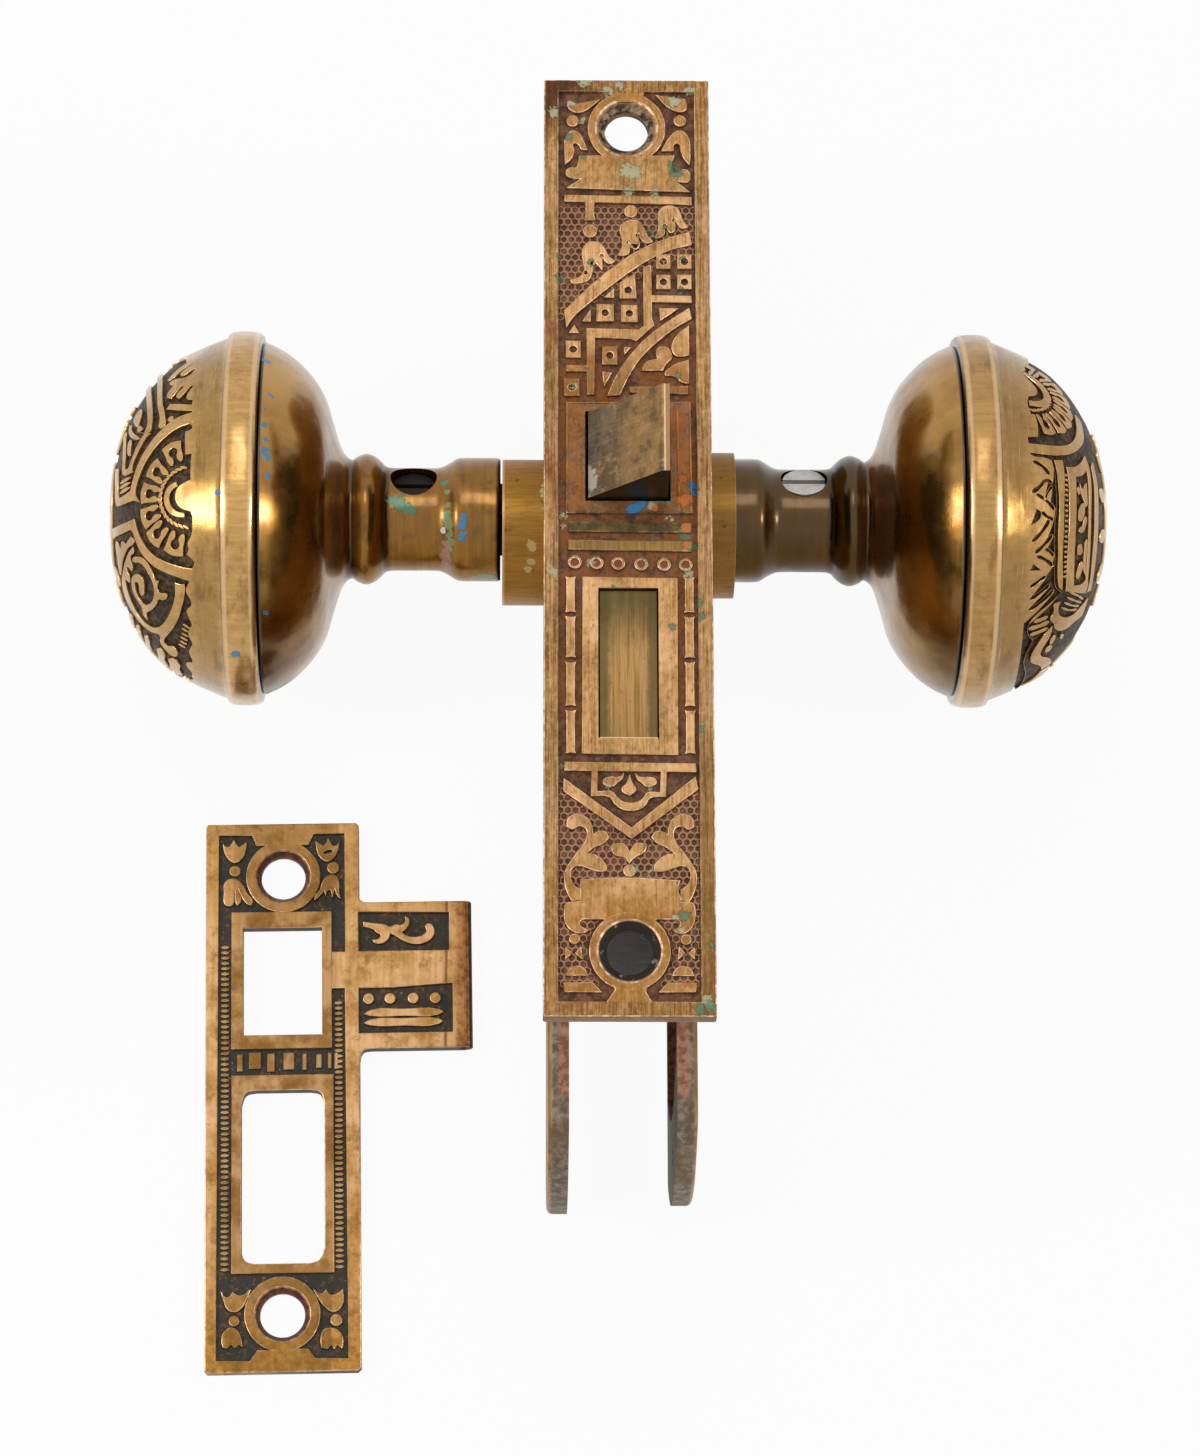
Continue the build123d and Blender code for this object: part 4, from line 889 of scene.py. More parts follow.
left_figures = [
    drawn("""
        -9.9,30.9| -9.5,29 -8.4,26.8 -6.5,24.8 -4,22.4 -1.5,20.5 0.8,19.2 2.1,18.5| 2.15,17
        2.1,15.5 1.8,14.3 1,13.8 -1,13.5 -3.4,12.9| -4,11| -2,11.6 0,12 1.6,12.2 2.6,12.8 3.1,14
        3.5,16 3.8,18 4.1,19.5 4.9,20.9| 3.9,20.3 3,19.9 1.8,20.3 0,21.4 -2.5,23.4 -4.5,25.5
        -6.2,27.6 -7.1,29.4 -7.6,30.9|"""),
    drawn("""
        19.1,25.9| 17.8,24.1 16.5,22.8 15,21.4 13,20 11,19.2 9,18.8 6.8,18.65| 6.6,17 6.2,14.5
        5.7,12 5.2,10 4.9,8.6| 6.4,8.4| 6.7,10 7.1,11.8 7.6,14 7.9,16 8.25,17.2 10,17.5 12.5,17.9
        14.5,18.8 16,19.8 17.5,21 19,22.3 21,23.9|"""),
    drawn("""
        20.3,22.3| 21.3,21.4 22.3,20 23.3,18 24.1,16 24.6,13.5 24.7,11.3 24.6,9 24.7,7.6 25.2,7
        25.7,7.3 26,7.9 26.7,8 27.3,7.4 27.5,6.3 27.1,5.1 26.4,4.8 25.4,5.3 24.5,6.1 24,7.2
        23.7,8.4 23.2,8.2 22.3,7 20.8,6 19,5.35 17,5.1 15.4,5.4 14,6.4 12.9,7.9 12.5,9.4 12,10.8
        11.4,12.5 10.9,14.2 10.6,16.3| 11.5,15.8 11.5,14.8 11.9,14.1 12.9,14 13.5,13.1 12.7,12.6
        12.4,12 12.9,11.5 13.7,11.5 14.5,10.7 13.8,9.9 13.6,9.2 14.4,8.3 15.7,7.4 17.3,6.8 19,6.6
        20.6,7.1 21.8,8.2 22.6,9.7 23,11.5 22.95,13.5 22.5,15.8 21.7,18 20.5,19.8 19.2,21|
        19.9,21.5"""),
    drawn("""
        9,16.6| 9.8,17.2 10.3,16.4 10.2,15.2 10.3,14.1 10.6,12.9 10.9,11.7 11.4,10.4 11.9,9.2
        12.2,8| 11.4,8.1 10,8.9 8.6,9.4 7.6,9.9 7.7,10.9 8.9,11.5 9.2,12.2 8.6,12.9 8.7,13.7
        9.3,14.2 9.2,15.4"""),
    drawn("""
        12.1,15 12.4,16.6 13.2,17.8 14.6,18.3 16.2,18.2 17.2,17.9 17.6,18.6| 18.2,17.4 19,16.9
        19.4,17.3 20,18 20.5,17.6 20.4,16.4 19.9,15.8 20.2,14.6 20.3,13 20.1,11.3 19.9,10.1
        20.6,8.9| 19.9,8.8 19.3,9.3 18.8,10 17.5,10 16,10.2 15,11 14.3,12.3 14.3,13.6 14.8,14.8
        15.6,15.2 16.3,14.9 17.2,13.8 17.7,12.9 17.3,12.2 16.6,12.6 15.9,13.3 15.4,13.1 15.3,12.3
        16,11.3 17.2,10.9 18.4,11.1 19.1,12 19.4,13.5 19.1,15 18.3,16.2 17,17 15.5,17.2 14.2,17
        13.3,16.2 12.9,15.3 12.4,14.7"""),
    ribbon(drawn("""
        -7.2,24.9 -9.2,24.2 -10.6,23.3 -12,22.2 -13.5,21.1 -15,19.85 -16.4,18.5 -17.8,16.9
        -19.1,15 -20.4,12.8 -21.5,10.1 -22.5,7.1 -23,4.5 -23.3,2.2 -23.3,-0.1"""), 1.0, 1.0),
    ribbon(drawn("""
        -6.9,21.6 -8.5,21.5 -10,20.85 -11.5,19.85 -13,18.6 -14.4,17.2 -15.7,15.6 -17,13.6 -18.4,11
        -19.5,8.2 -20.3,5.4 -20.7,2.7 -20.8,-0.1"""), 1.15, 1.0),
    drawn("""
        -6.2,23.2| -6.4,22.1 -5,20.8 -3.5,19.8 -2.2,18.9 -1.3,18.9 -0.7,19.6| -0.8,18 -1.1,16.4
        -1.6,15.7 -3.5,15.2 -5.5,14.5 -7.5,13.4 -9,12.2| -9.5,13| -8,14.2 -6.3,15.2 -4.5,15.9
        -2.6,16.3 -2,16.8 -2,17.7 -2.7,18.2 -4,18.9 -5.5,19.8 -7,20.9|"""),
    drawn("-8.8,17.9| -10.3,17.7 -11.8,17.2 -12.6,16.3 -12.4,15.2 -11,14.8 -10.3,15.6 -9.6,16.5"),
    drawn("""
        -6.2,20.2| -6.3,19 -7,17.4 -8,15.7 -9.2,14.4 -10.4,13.6| -10.2,14.6 -9.1,15.6 -8,17.2
        -7.1,18.8"""),
    drawn("-8.9,18.4 -8.6,19.3 -8.1,20| -7.7,19.2 -8.1,18.3"),
    drawn("-6.9,16.9 -5.5,17.3 -3.9,17.8| -4.3,16.9 -5.5,16.2 -7,16.1"),
    drawn("-9.9,30.4| -11.2,30| -11.6,27 -11.8,24.5| -10.7,24.3| -10.2,27"),
    round_line(-8.6, 26.1, 0.55, 8),
    drawn("""
        3.5,28.6| 4.1,27.1 5.3,26.2 6.8,25.9 8.4,26.3 9.5,27.3 10.1,28.6| 9.3,28.8| 8.7,27.8
        7.9,27.2 6.8,26.9 5.6,27.1 4.8,27.8 4.4,28.8|"""),
    *[keyhole_petal(x, y, left_fan) for x, y in drawn("""
        -1.9,28.1 0.9,25.1 4.1,23.2 7.6,22.4 10.9,22.8 13.8,25.1""")],
    *ovals(around((6.8, 30.8), 5.6, 188, 332, 17), 1.3, 0.5, 62),
    *[oval(x, y, 1.25, 0.46, 6) for x, y in drawn("""
        25.9,15.4 26.2,14.4 26.7,13.3 27,12.2 27.3,11.1 27.4,10""")],
    *[ribbon([(u, 18.4), (u - 0.2, 14.9)], 0.35) for u in (-0.1, 0.7, 1.5)],
    *[ribbon([(-24.6, v), (-26.4, v + 1.3), (-28.2 + 0.02 * v * v, v + 0.2)], 1.1)
      for v in (1.6, 5.4, 9.2, 12.8)],
]
left_middle_figures = [
    *[ribbon([(u, half), (u, 0), (u, -half)], width) for u, half, width in drawn("""
        24.75,4.1,1.2 27.3,3.8,1.7 21.6,3.6,0.8 19.4,3.2,0.8 17.2,2.8,0.8""")],
    *ovals(around((0, 0), 12.0, -22, 22, 3), 3.8, 2.0),
    *ovals(around((0, 0), 13.0, 138, 222, 5), 5.0, 2.2),
    *[round_line(x, y, 0.8) for x, y, _ in around((0, 0), 17.2, 149, 211, 4)],
]

right_collar = drawn("""
    29,0 29,3 28.6,6.5 27.8,9.5 26.8,12.4 25.6,15 24.2,17.4 22.9,19.6 22.3,21.2 21.6,22.7 20.4,24
    18.5,24.35 16.5,24.5 15.2,25.1 14.4,26.3 14.3,27.5| 12.4,28.7 10.2,29.1| 10.1,28.4| 7.5,28.8
    5.4,29.4| 5.2,31.2| 4.3,31.3| 2.1,31.4| 1.6,31 1.5,29 1.3,27.6| -0.3,27.2 -2,26.9 -4,26.6
    -5.2,26.3 -7,25.9 -8.9,25.6 -11,24.9 -12.6,24.1 -14.6,22.7 -16,21.7 -17.4,20.5 -18.4,19.2
    -18.5,17.3| -20,17.5 -22,17.8 -24.4,17.8 -25.7,17.2 -26.9,15.5 -27,13| -28.2,11.6 -29.3,9.9
    -30,8 -30.2,5.4 -30.2,3 -30.3,0""")
right_slots = [
    ribbon(drawn("-5.3,30.6 -3.9,29.5 -2.7,28.7 -2.7,27.5"), 0.5),
    ribbon(drawn("-6.2,28.4 -4.7,28.1 -3.3,27.4"), 0.42),
    ribbon(drawn("-5.5,29.9 -6.2,28 -7.2,26.3"), 0.42),
    ribbon(drawn("-8.3,28.3 -8.8,27.2 -8.9,26"), 0.4),
    drawn("-11,29.3| -8.1,29.3| -8.4,28.5 -9.8,28.4"),
    ribbon(drawn("-13.7,27.9 -11.4,27.1 -9.2,26.7"), 0.45),
    ribbon(drawn("-15.3,26.4 -13.5,25.8 -11.4,25.2"), 0.45),
    ribbon(drawn("-15.7,25.8 -15.6,24.3 -15.9,22.4"), 0.42),
    ribbon(drawn("-14,25.2 -14.1,24.1 -14.4,23.2"), 0.35),
    drawn("-18.4,25.3| -17.2,25.6| -17.5,23.7|"),
    ribbon(drawn("-20.8,23.2 -19.3,22.8 -18,22.3"), 0.45),
    ribbon(drawn("-22.5,21.4 -20.5,20.9 -18.8,20.6"), 0.45),
    ribbon(drawn("-24,19.9 -21.5,19.3 -19.1,19.2"), 0.5),
    ribbon(drawn("0.5,30.8 -0.2,29.3 -1.4,28.1"), 0.5),
]
right_fan = (16.8, 28.3)
dotted_line = drawn("-16.2,18.7 -14,20.5 -12,21.75 -9.8,22.85 -7,23.75 -4,24.4 -0.6,24.7")
right_figures = [
    drawn("""
        -18.2,18.6| -17.3,19.8 -15.8,21.2 -14,22.4 -12,23.6 -10,24.5 -8,25.1 -5,25.8 -3,26.3
        -0.3,26.7 1.4,27.1| 1.8,25.4| -1,25.1 -4,24.9 -7,24.3 -10,23.3 -12.5,22.2 -14.5,20.9
        -16.5,19.1 -18.3,17.4|"""),
    drawn("""
        -15.2,9.8| -13.6,10.8 -12,12.3 -10,13.7 -7,15.1 -4,16.1 0,16.6 3,17.2| 4,16.4| 0,15.3
        -4,14.7 -7,13.6 -10,12.2 -12.6,10.4 -14.4,8.7|"""),
    drawn("""
        2.1,31.9| 2.15,28 2.6,25.5 3.3,23.5 4.5,21.4 5.7,19.8 7,18.4 9,17.2 11,16.4| 12,17.6|
        10.4,18.5 9.2,19.2 7.8,20.2 6.3,21.6 5,23.5 4.3,25.6 4,28 3.9,31.9|"""),
    drawn("""
        -19.8,16| -20.9,16.8 -21.2,16.2 -22,15.2 -22.8,14.9 -23,13.9 -22.9,13 -23.2,12.4
        -23.1,10.9 -22.4,9.6 -21.4,8.6 -20,8 -19,7.2 -18,6.4| -15.6,8.2| -18,9.2 -19.5,10.1
        -20.6,11.4 -21.2,12.8 -21.3,14 -20.8,15.2"""),
    drawn("""
        -23.3,12.9| -25.2,12.4 -27,11 -28.2,9.6 -28.9,8 -29,6.5 -28.6,5.3 -28,4 -27.5,2 -27.4,0.8|
        -25.6,0.8| -25.8,3 -26.3,4.6 -26.9,5.9 -27.2,7.1 -27,8.4 -25.8,9.8 -24.5,11"""),
    drawn("-15.3,15.5 -14,16.6 -12.6,16.6 -12.6,15.9 -13.9,15.2"),
    drawn("-12.1,18.2| -11.1,18.9 -10.3,18.6 -10.6,17.8 -11.6,17.3"),
    drawn("-12.3,15.9 -10.9,16.8 -9.2,17.3 -8.9,17| -10.4,16.1 -12.2,15.1 -13.8,13.4| -13.5,14.6"),
    drawn("-8.8,20.1| -8.6,18.9 -7.3,18.4 -5.8,18.8 -6.5,19.3 -7.6,19.4 -8,19.9"),
    oval(-5.6, 20.2, 3.2, 1.5, -5), oval(-2.4, 21.6, 1.3, 0.7, 20),
    drawn("""
        -3.4,20.2 -2.6,20.9 -0.9,21.5| -1.8,20.5 -0.8,20 -0.4,19.4| -2,19.2 -4.4,19.2
        -3.9,19.7"""),
    ribbon(drawn("-24.9,16.9 -23.9,16.2 -22.9,15.7"), 0.75),
    ribbon(drawn("-26.3,16.2 -24.8,15.2 -23.3,14.5"), 0.8),
    ribbon(drawn("-26.8,14.6 -25.4,13.9 -24.1,13.4"), 0.7),
    oval(-25.7, 7.6, 1.7, 1.3, 60), oval(-24.5, 9.4, 2.2, 0.9, 55), oval(-22.9, 7.9, 1.4, 0.7, 80),
    drawn("""
        12.1,28.6| 11.9,26.4 12.4,24.6 13.6,23.2 15.2,22.5 17.2,22.2 19.2,22.5 20.8,23.2|
        20.3,23.9| 18.6,23.6 16.6,23.5 14.9,24 13.7,25 13.2,26.3 13.3,28|"""),
    *[keyhole_petal(x, y, right_fan, 0.72) for x, y, _ in around(right_fan, 8.8, 188, 305, 8)],
    *ovals(around(right_fan, 5.75, 178, 322, 18), 1.2, 0.45, 62),
    *ovals(along_line(dotted_line, 0.85), 0.75, 0.45, 80),
    *[ribbon([(-17.6 - k, 15.2 - 0.2 * k), (-17.0 - k, 12.5), (-16.6 - 0.7 * k, 10.2)], 0.3)
      for k in (0, 0.9, 1.8, 2.7)],
]
right_frame = [
    drawn("""
        -18,16.5| -16,18.4 -14,20 -12,21.2 -9.5,22.3 -7,23.1 -4,23.8 -1,24.2 0.8,24.6| 1.1,23.2
        1.7,22 2.6,20.8 4.3,19.2| 2.6,18.2 0,17.8 -2.5,17.7 -5,17.3 -8,16.2 -10,15.1 -12,13.7
        -13.7,12.2 -14.6,11 -15.6,10.5| -16.5,12.5 -17.2,14.5"""),
    drawn("""
        -16.4,15.4| -15,16.9 -13,18.6 -11,19.8 -9,20.7 -6,21.6 -3,22.2 -0.3,22.4| 0.2,21.2 1,20
        2,19.1| 0,18.7 -2.5,18.5 -5.2,18 -8.2,16.9 -10.4,15.8 -12.5,14.4 -14.2,12.6|
        -15.3,13.5"""),
]
right_middle_figures = [
    *[ribbon([(u, half), (u - 1, 0), (u, -half)], 1.0)
      for u, half in drawn("27,4.1 24.6,3.8 22.2,3.6 19.8,3.2")],
    *ovals(around((0, 0), 12.0, 0, 330, 12), 3.8, 2.0),
]


def knob_relief(side, collar, figures):
    """All figures of one knob's face as flat shapes, cut to a net so that they can bend."""
    band, *slots = collar
    inner = band + flipped(band[-2:0:-1])
    rim = [round_line(0, 0, relief_reach, 24), inner, *slots, *[flipped(slot) for slot in slots]]
    shapes = [flat_shape(rim, relief_foot, -0.004, relief_edge)]
    for place, outlines in enumerate(figures):
        top = -0.006 - 0.004 * (place % 3)
        shapes.append(flat_shape(outlines, relief_foot, top, relief_edge, 3))
    middle_ring = [round_line(0, 0, 8.6, 16), round_line(0, 0, 7.5, 16)]
    shapes.append(flat_shape(middle_ring, relief_foot, -0.01, relief_edge))
    relief = gathered(side + "_knob_relief", shapes)
    bpy.ops.object.mode_set(mode="EDIT")
    for line in range(-15, 16):
        for normal in ((1, 0, 0), (0, 1, 0)):
            bpy.ops.mesh.select_all(action="SELECT")
            bpy.ops.mesh.bisect(plane_co=[net_pitch * line * n for n in normal], plane_no=normal)
    bpy.ops.object.mode_set(mode="OBJECT")
    return relief


def sinking(piece, depth_at):
    """Every point of a face keeps how far it is sunk, from 0 at the top to 1 on the ground."""
    depth = piece.data.attributes.new("sunk", "FLOAT", "POINT")
    for i, vertex in enumerate(piece.data.vertices):
        depth.data[i].value = depth_at(*[1000 * c for c in vertex.co])


def lay_on_dome(relief, rim_x, sign):
    """Each point goes from its place on the flat drawing to its place on the dome."""
    for vertex in relief.data.vertices:
        u, v, lift = [1000 * c for c in vertex.co]
        out, radius = on_dome(math.hypot(u, v), lift)
        turn = math.atan2(v, u)
        vertex.co = [c * 0.001 for c in (
            rim_x + sign * out, knob_axis_y + sign * radius * math.cos(turn),
            knob_axis_z + radius * math.sin(turn),
        )]
    relief.data.update()


rim_band = drawn("""
    2.55,27.75 2.4,28.2 1.9,28.42 0.8,28.55 -0.8,28.55 -1.9,28.4 -2.4,28.15 -2.62,27.9 -2.7,27.2
    -2.75,26.2 -2.75,0""")
sunk_dome = [on_dome(ground_reach * i / 32, -ground_drop) for i in range(33)]
sunk_dome[0] = (sunk_dome[0][0], 0.0)
smooth_dome = [on_dome(ground_reach + (dome_reach[-1] - ground_reach) * i / 6, 0) for i in range(7)]
back = bend_profile(drawn("""
    -2.6,26.5 -3,26.85 -3.7,26.6 -4.9,26.05 -6.1,25.35 -7.4,24.4 -8.6,23.3 -9.8,22 -11,20.4
    -12.3,17.9 -13.5,13.8 -14.7,10.4 -16,9.1 -17,9.6 -18.3,10 -19.6,9.6 -20.6,8.8 -21.3,8.1
    -22.4,7.88 -25,7.86 -28.6,7.86 -29.8,8 -31,8.6 -32.2,9.3 -33.4,9.45 -35,9.45 -37,9.45
    -38.4,9.42 -38.8,9.2"""), 4)
rosette = [round_line(0, 0, 2.1), *ovals(around((0, 0), 4.5, 0, 315, 8), 3.4, 1.7)]
knob_pieces = []
for side, rim_x, sign, collar, halves, frames, whole in (
    ("left", left_rim_x, -1, [left_collar], left_figures, [], left_middle_figures),
    ("right", right_rim_x, 1, [right_collar, *right_slots], right_figures,
     [right_frame, [flipped(outline) for outline in right_frame]], right_middle_figures),
):
    spot = (rim_x, knob_axis_y, knob_axis_z)
    axis = (sign, 0, 0)
    face = turned([*sunk_dome, *smooth_dome, *rim_band], spot, axis, 128, side + "_knob_dome")
    ground_out, ground_radius = sunk_dome[-1][0] - 0.05, sunk_dome[-1][1] + 0.05
    sinking(face, lambda x, y, z: float(
        sign * (x - rim_x) > ground_out
        and math.hypot(y - knob_axis_y, z - knob_axis_z) < ground_radius
    ))
    figures = [*[[line] for line in halves], *[[flipped(line)] for line in halves], *frames]
    relief = knob_relief(side, collar, figures + [[line] for line in (*whole, *rosette)])
    sinking(relief, lambda u, v, lift: min(1.0, max(0.0, -lift / ground_drop)))
    lay_on_dome(relief, rim_x, sign)
    inside = [(shank_end, 4.3), (socket_end, 4.1), (socket_end, 0.0)]
    shell = turned([(-2.6, 0.0), *back, *inside], spot, axis, 96, side + "_knob_back")
    aim = Vector((0, math.sin(set_screw_tilt), math.cos(set_screw_tilt)))
    screw_spot = Vector((rim_x + sign * set_screw_out, knob_axis_y, knob_axis_z)) * 0.001
    clear_selection()
    bpy.ops.mesh.primitive_cylinder_add(
        vertices=48, radius=0.00355, depth=0.012, rotation=(-set_screw_tilt, 0, 0),
        location=screw_spot + aim * 0.0115,
    )
    drill = bpy.context.object
    cut = shell.modifiers.new("hole", "BOOLEAN")
    cut.operation = "DIFFERENCE"
    cut.solver = "EXACT"
    cut.object = drill
    take(shell)
    bpy.ops.object.modifier_apply(modifier="hole")
    bpy.data.objects.remove(drill)
    for piece in (face, relief, shell):
        take(piece)
        bpy.ops.object.shade_smooth_by_angle(angle=math.radians(38))
        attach(piece, "knobs")
        knob_pieces.append(piece)
    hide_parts(side + "_knob_face")
    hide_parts(side + "_knob_shank")

knob_finish, knob_body, knob_blotch = old_bronze(
    "knob_bronze", "CAA062", "A67C3E", "7A5424", along=(0.08, 1, 1)
)
knob_x = knob_finish.axes()[0]
knob_out = abs(knob_x) * 1000 - right_rim_x - (knob_x < 0.0) * (-left_rim_x - right_rim_x)
knob_rise = knob_finish.axes("Normal")[1]
knob_sunk = knob_finish.node("ShaderNodeAttribute", {"attribute_name": "sunk"}, output="Fac")
knob_low = knob_sunk.rise(0.35, 0.9)
knob_grit = knob_finish.noise(1.3, 3.0, 0.6)
knob_cloud = knob_finish.noise(0.07, 4.0, 0.6, (0.6, 1, 1), (3, 3, 9))
knob_ring = knob_finish.noise(1.2, 3.0, 0.6, (1, 0.06, 0.06), (7, 1, 2))
knob_stain = knob_finish.noise(0.35, 4.0, 0.6, start=(6, 6, 1))
knob_wear = knob_finish.noise(0.5, 4.0, 0.65, (1, 0.3, 0.3), (2, 8, 8))
knob_scratch = knob_finish.noise(3.2, 3.0, 0.7, (1, 0.03, 0.03), (5, 5, 5))
knob_dents = knob_finish.noise(0.12, 2.0, 0.4, start=(1, 1, 6))
right_knob = knob_x.rise(0.0, 0.001)
knob_shade = knob_out + (knob_cloud - 0.5) * 3.0
olive = knob_shade.rise(1.6, 3.4) * knob_shade.fall(5.0, 8.5)
back_part = knob_out.fall(-3.4, -2.9)
# Painted shade: the back is darkened on its side that faces −y.
painted_underside_shade = back_part * (knob_rise + knob_cloud * 0.4).fall(-0.75, -0.25)
back_tone = knob_finish.coats(
    knob_finish.mix(knob_cloud.rise(0.35, 0.65), "94662A", "B58A46"),
    # painted shade: the back darkens toward the bead and the neck
    ((knob_out + knob_cloud * 4.0).fall(-11.5, -5.0) * 0.75, "7A521C"),
    (painted_underside_shade * 0.8, "3C2410"),
)
shank_tone = knob_finish.coats(
    knob_finish.mix(knob_ring.rise(0.3, 0.7) * 0.6, "8E6220", "6C4818"),
    (right_knob * 0.8, "332612"),
    (knob_stain.rise(0.5, 0.7) * 0.6, "5C3C16"),
)
# Painted shade in the creases where the bowl meets the bead and the bead meets the neck.
neck_crease_shade = abs(knob_out - bead_start).fall(0.3, 0.9)
neck_crease_shade = neck_crease_shade.most(abs(knob_out - bead_end).fall(0.3, 1.0))
crimp = abs(knob_out - crimp_out).fall(0.2, 0.5)
dome_part = knob_out.rise(-2.6, -2.2) * knob_out.fall(8.0, 9.0)
# The rim band's two edges: worn lighter, and painted brighter as a highlight.
rim_edge_highlight = abs(abs(knob_out) - 2.0).fall(0.15, 0.5)
# The top edges of the face's figures: rubbed lighter, and painted brighter as a highlight.
knob_edge_highlight = knob_sunk.rise(0.03, 0.12) * knob_sunk.fall(0.2, 0.4)
knob_body, knob_paint = knob_finish.painted(
    knob_finish.coats(
        knob_body,
        (olive * (0.35 + knob_ring * 0.5), "86662C"),
        (right_knob * 0.3, "7A5424"),
        (back_part, back_tone),
        (knob_out.fall(-17.5, -15.5), shank_tone),
        (knob_wear.rise(0.52, 0.7) * dome_part * 0.6, "755022"),
        (knob_scratch.rise(0.6, 0.72) * knob_out.rise(2.6, 3.0) * (1 - knob_low) * 0.45, "E2C090"),
        (rim_edge_highlight * 0.5, "E6C496"),
        (neck_crease_shade * 0.7, "2C1C0C"),
        (crimp * 0.92, "1C2222"),
        (knob_out.fall(-38.5, -37.9) * 0.85, "221608"),
        (knob_low, knob_finish.mix(knob_grit.rise(0.4, 0.7), "21170E", "604828")),
        (knob_edge_highlight * 0.8, "F2D4AC"),
    ),
    knob_grit,
    (
        ("3E9468", drawn("""
            -33.6,22.4,36.6,1.3 -34.6,22.9,36.5,0.9 -31.9,21.4,36.5,1.1 -29.4,27,35.6,0.8
            -26.6,25.6,36.2,0.7 -29.5,17.6,35.3,0.4""")),
        ("8FA468", drawn("""
            -26.2,24,37,0.5 -26.1,21.8,37,0.7 -26,19.7,36.7,0.9 -26,20.8,36.9,0.8
            -25.9,18.7,36.4,0.9 -25.7,16.7,35.2,0.8 -25.8,17.6,36,0.8 -25.7,15.8,34.1,0.6
            -30.9,27.2,35.4,0.9 -29.6,27.4,35.2,0.7""")),
        ("BC8264", drawn("""
            -26.4,16.6,34.4,0.8 -26.3,15.8,33.5,0.9 -26.3,15.2,32.4,1 -26.2,14.6,31.2,1.1
            -26.2,14.3,29.8,1.2""")),
        ("2C94C8", drawn("""
            -23.7,19.6,37.7,0.8 -23.9,18.6,37.2,0.8 -23.8,17.2,36.5,0.8 -53.4,40.8,48.2,0.9
            -53.2,34,52.2,0.5 -53.1,31,53.5,0.5 -53.1,28,54.7,0.6 -52.9,25.6,55.1,0.5
            -52.8,23.9,55.2,0.7 -52.6,23,55.1,0.8 -52.5,20,54.9,0.5 -52.7,1.9,45,0.6
            -57.5,-3.2,41,0.8 -59.6,16.9,55.7,0.7 -52.4,33.4,52.4,0.5""")),
        ("A0AA84", drawn("-20.1,13.2,29.2,1.5 -21.6,13.3,28.6,1.2")),
        ("F2F2F0", drawn("-26.8,18.4,35.7,0.55")),
    ),
)
knob_grain = knob_finish.bump(knob_finish.noise(2.4, 2.0), 0.12, 0.05 + knob_low * 0.9)
knob_material = knob_finish.close(
    Base_Color=knob_body,
    Metallic=(1.0 - knob_low * 0.5) * (1 - knob_paint * 0.95),
    Roughness=0.22 + knob_blotch * 0.1 + knob_low * 0.3 + knob_ring * 0.06,
    # The coat is thinner on the sunk ground and on the back's painted-shade side.
    Coat_Weight=0.5 - knob_low.most(painted_underside_shade * 0.8) * 0.5,
    Coat_Roughness=0.12,
    Normal=knob_finish.bump(knob_dents + knob_ring * 0.03 + knob_paint * 0.1, 1.0, 0.5, knob_grain),
)
for piece in knob_pieces:
    wear(piece, knob_material)

# Strike: the flat keeper of the door frame, cast like the front, with a bent lip at its right.
# It is drawn in its own frame, then turned a little and laid on the table.
strike_top = 2.4
strike_floor = 1.85
strike_foot = 1.6
strike_screws = ((0.12, 34.4), (-0.1, -34.15))
strike_place = (-0.0511, -0.0612, 0)
strike_turn = math.radians(1.02)
bead_pitch = 0.84
strike_latch_hole = box_line(-6.05, 9.2, 6.05, 26.2)
strike_bolt_hole = drawn("""
    -6.3,-24.4| -6.3,-1.5| -5.6,0.1 -4.1,0.5| 4.3,0.5| 5.7,0.1 6.35,-1.5| 6.35,-24| 5.6,-25.8
    4.2,-26.4| -4.3,-26.4| -5.7,-25.9""")
strike_outline = drawn("""
    -11.5,42.9| -11.85,42.5| -11.85,-42.5| -11.5,-42.95| 11.3,-42.9| 11.8,-42.4| 11.85,5| 12.3,6.5
    13.5,6.85| 28.1,6.85| 28.1,30.1| 12.6,30.1| 11.9,30.7 11.85,31.5| 11.85,42.4| 11.4,42.9|""")
tulip_left = drawn("""
    -9.3,40.1| -8.8,39.4 -8.3,39.3| -7.9,39.8 -7.5,40.6| -7.1,39.7 -6.7,39.3| -5.5,40.1| -5.6,39
    -6.2,37.4 -7.4,36.7 -8.3,37.2 -9,38.4""")
lotus_left = drawn("""
    -8.96,33.54 -8.13,34.14 -7.1,34.07 -6.21,33.28 -5.47,31.89 -4.58,30.65 -4.73,29.73|
    -5.47,30.05 -6.12,30.82 -6.5,31.6| -6.35,30.68 -6.94,29.76| -7.2,30.1 -7.35,31.3| -7.6,30
    -8.2,29.7| -8.9,30 -9.1,31.94""")
lotus_right = drawn("""
    6.82,34.32 8.16,34.45 8.75,33.52 8.8,31.98 9,30.6| 8.44,31.22 8.09,32.1| 7.7,30.77| 7.41,32.1|
    7.05,32.1 6.72,30.94| 6.43,31.95| 5.54,30.96 4.9,30.4| 5,31.2 5.78,32.3 6.08,33.25""")
tulip_low_left = drawn("""
    -9.44,-30.3| -9.09,-31.1 -8.28,-31.4 -7.6,-30.6| -6.9,-31.1 -6.3,-31.2 -4.77,-30.1|
    -5.4,-31.74 -6.41,-33.33 -7.41,-33.75 -8.42,-33.3 -9,-31.97""")
lotus_low_left = drawn("""
    -9.13,-39.11| -9.28,-37.51 -8.56,-36.36 -7.55,-36.08 -6.6,-36.97 -6.02,-39.16| -6.69,-38.7|
    -7.26,-39.3| -7.84,-38.7| -8.41,-39.27|""")
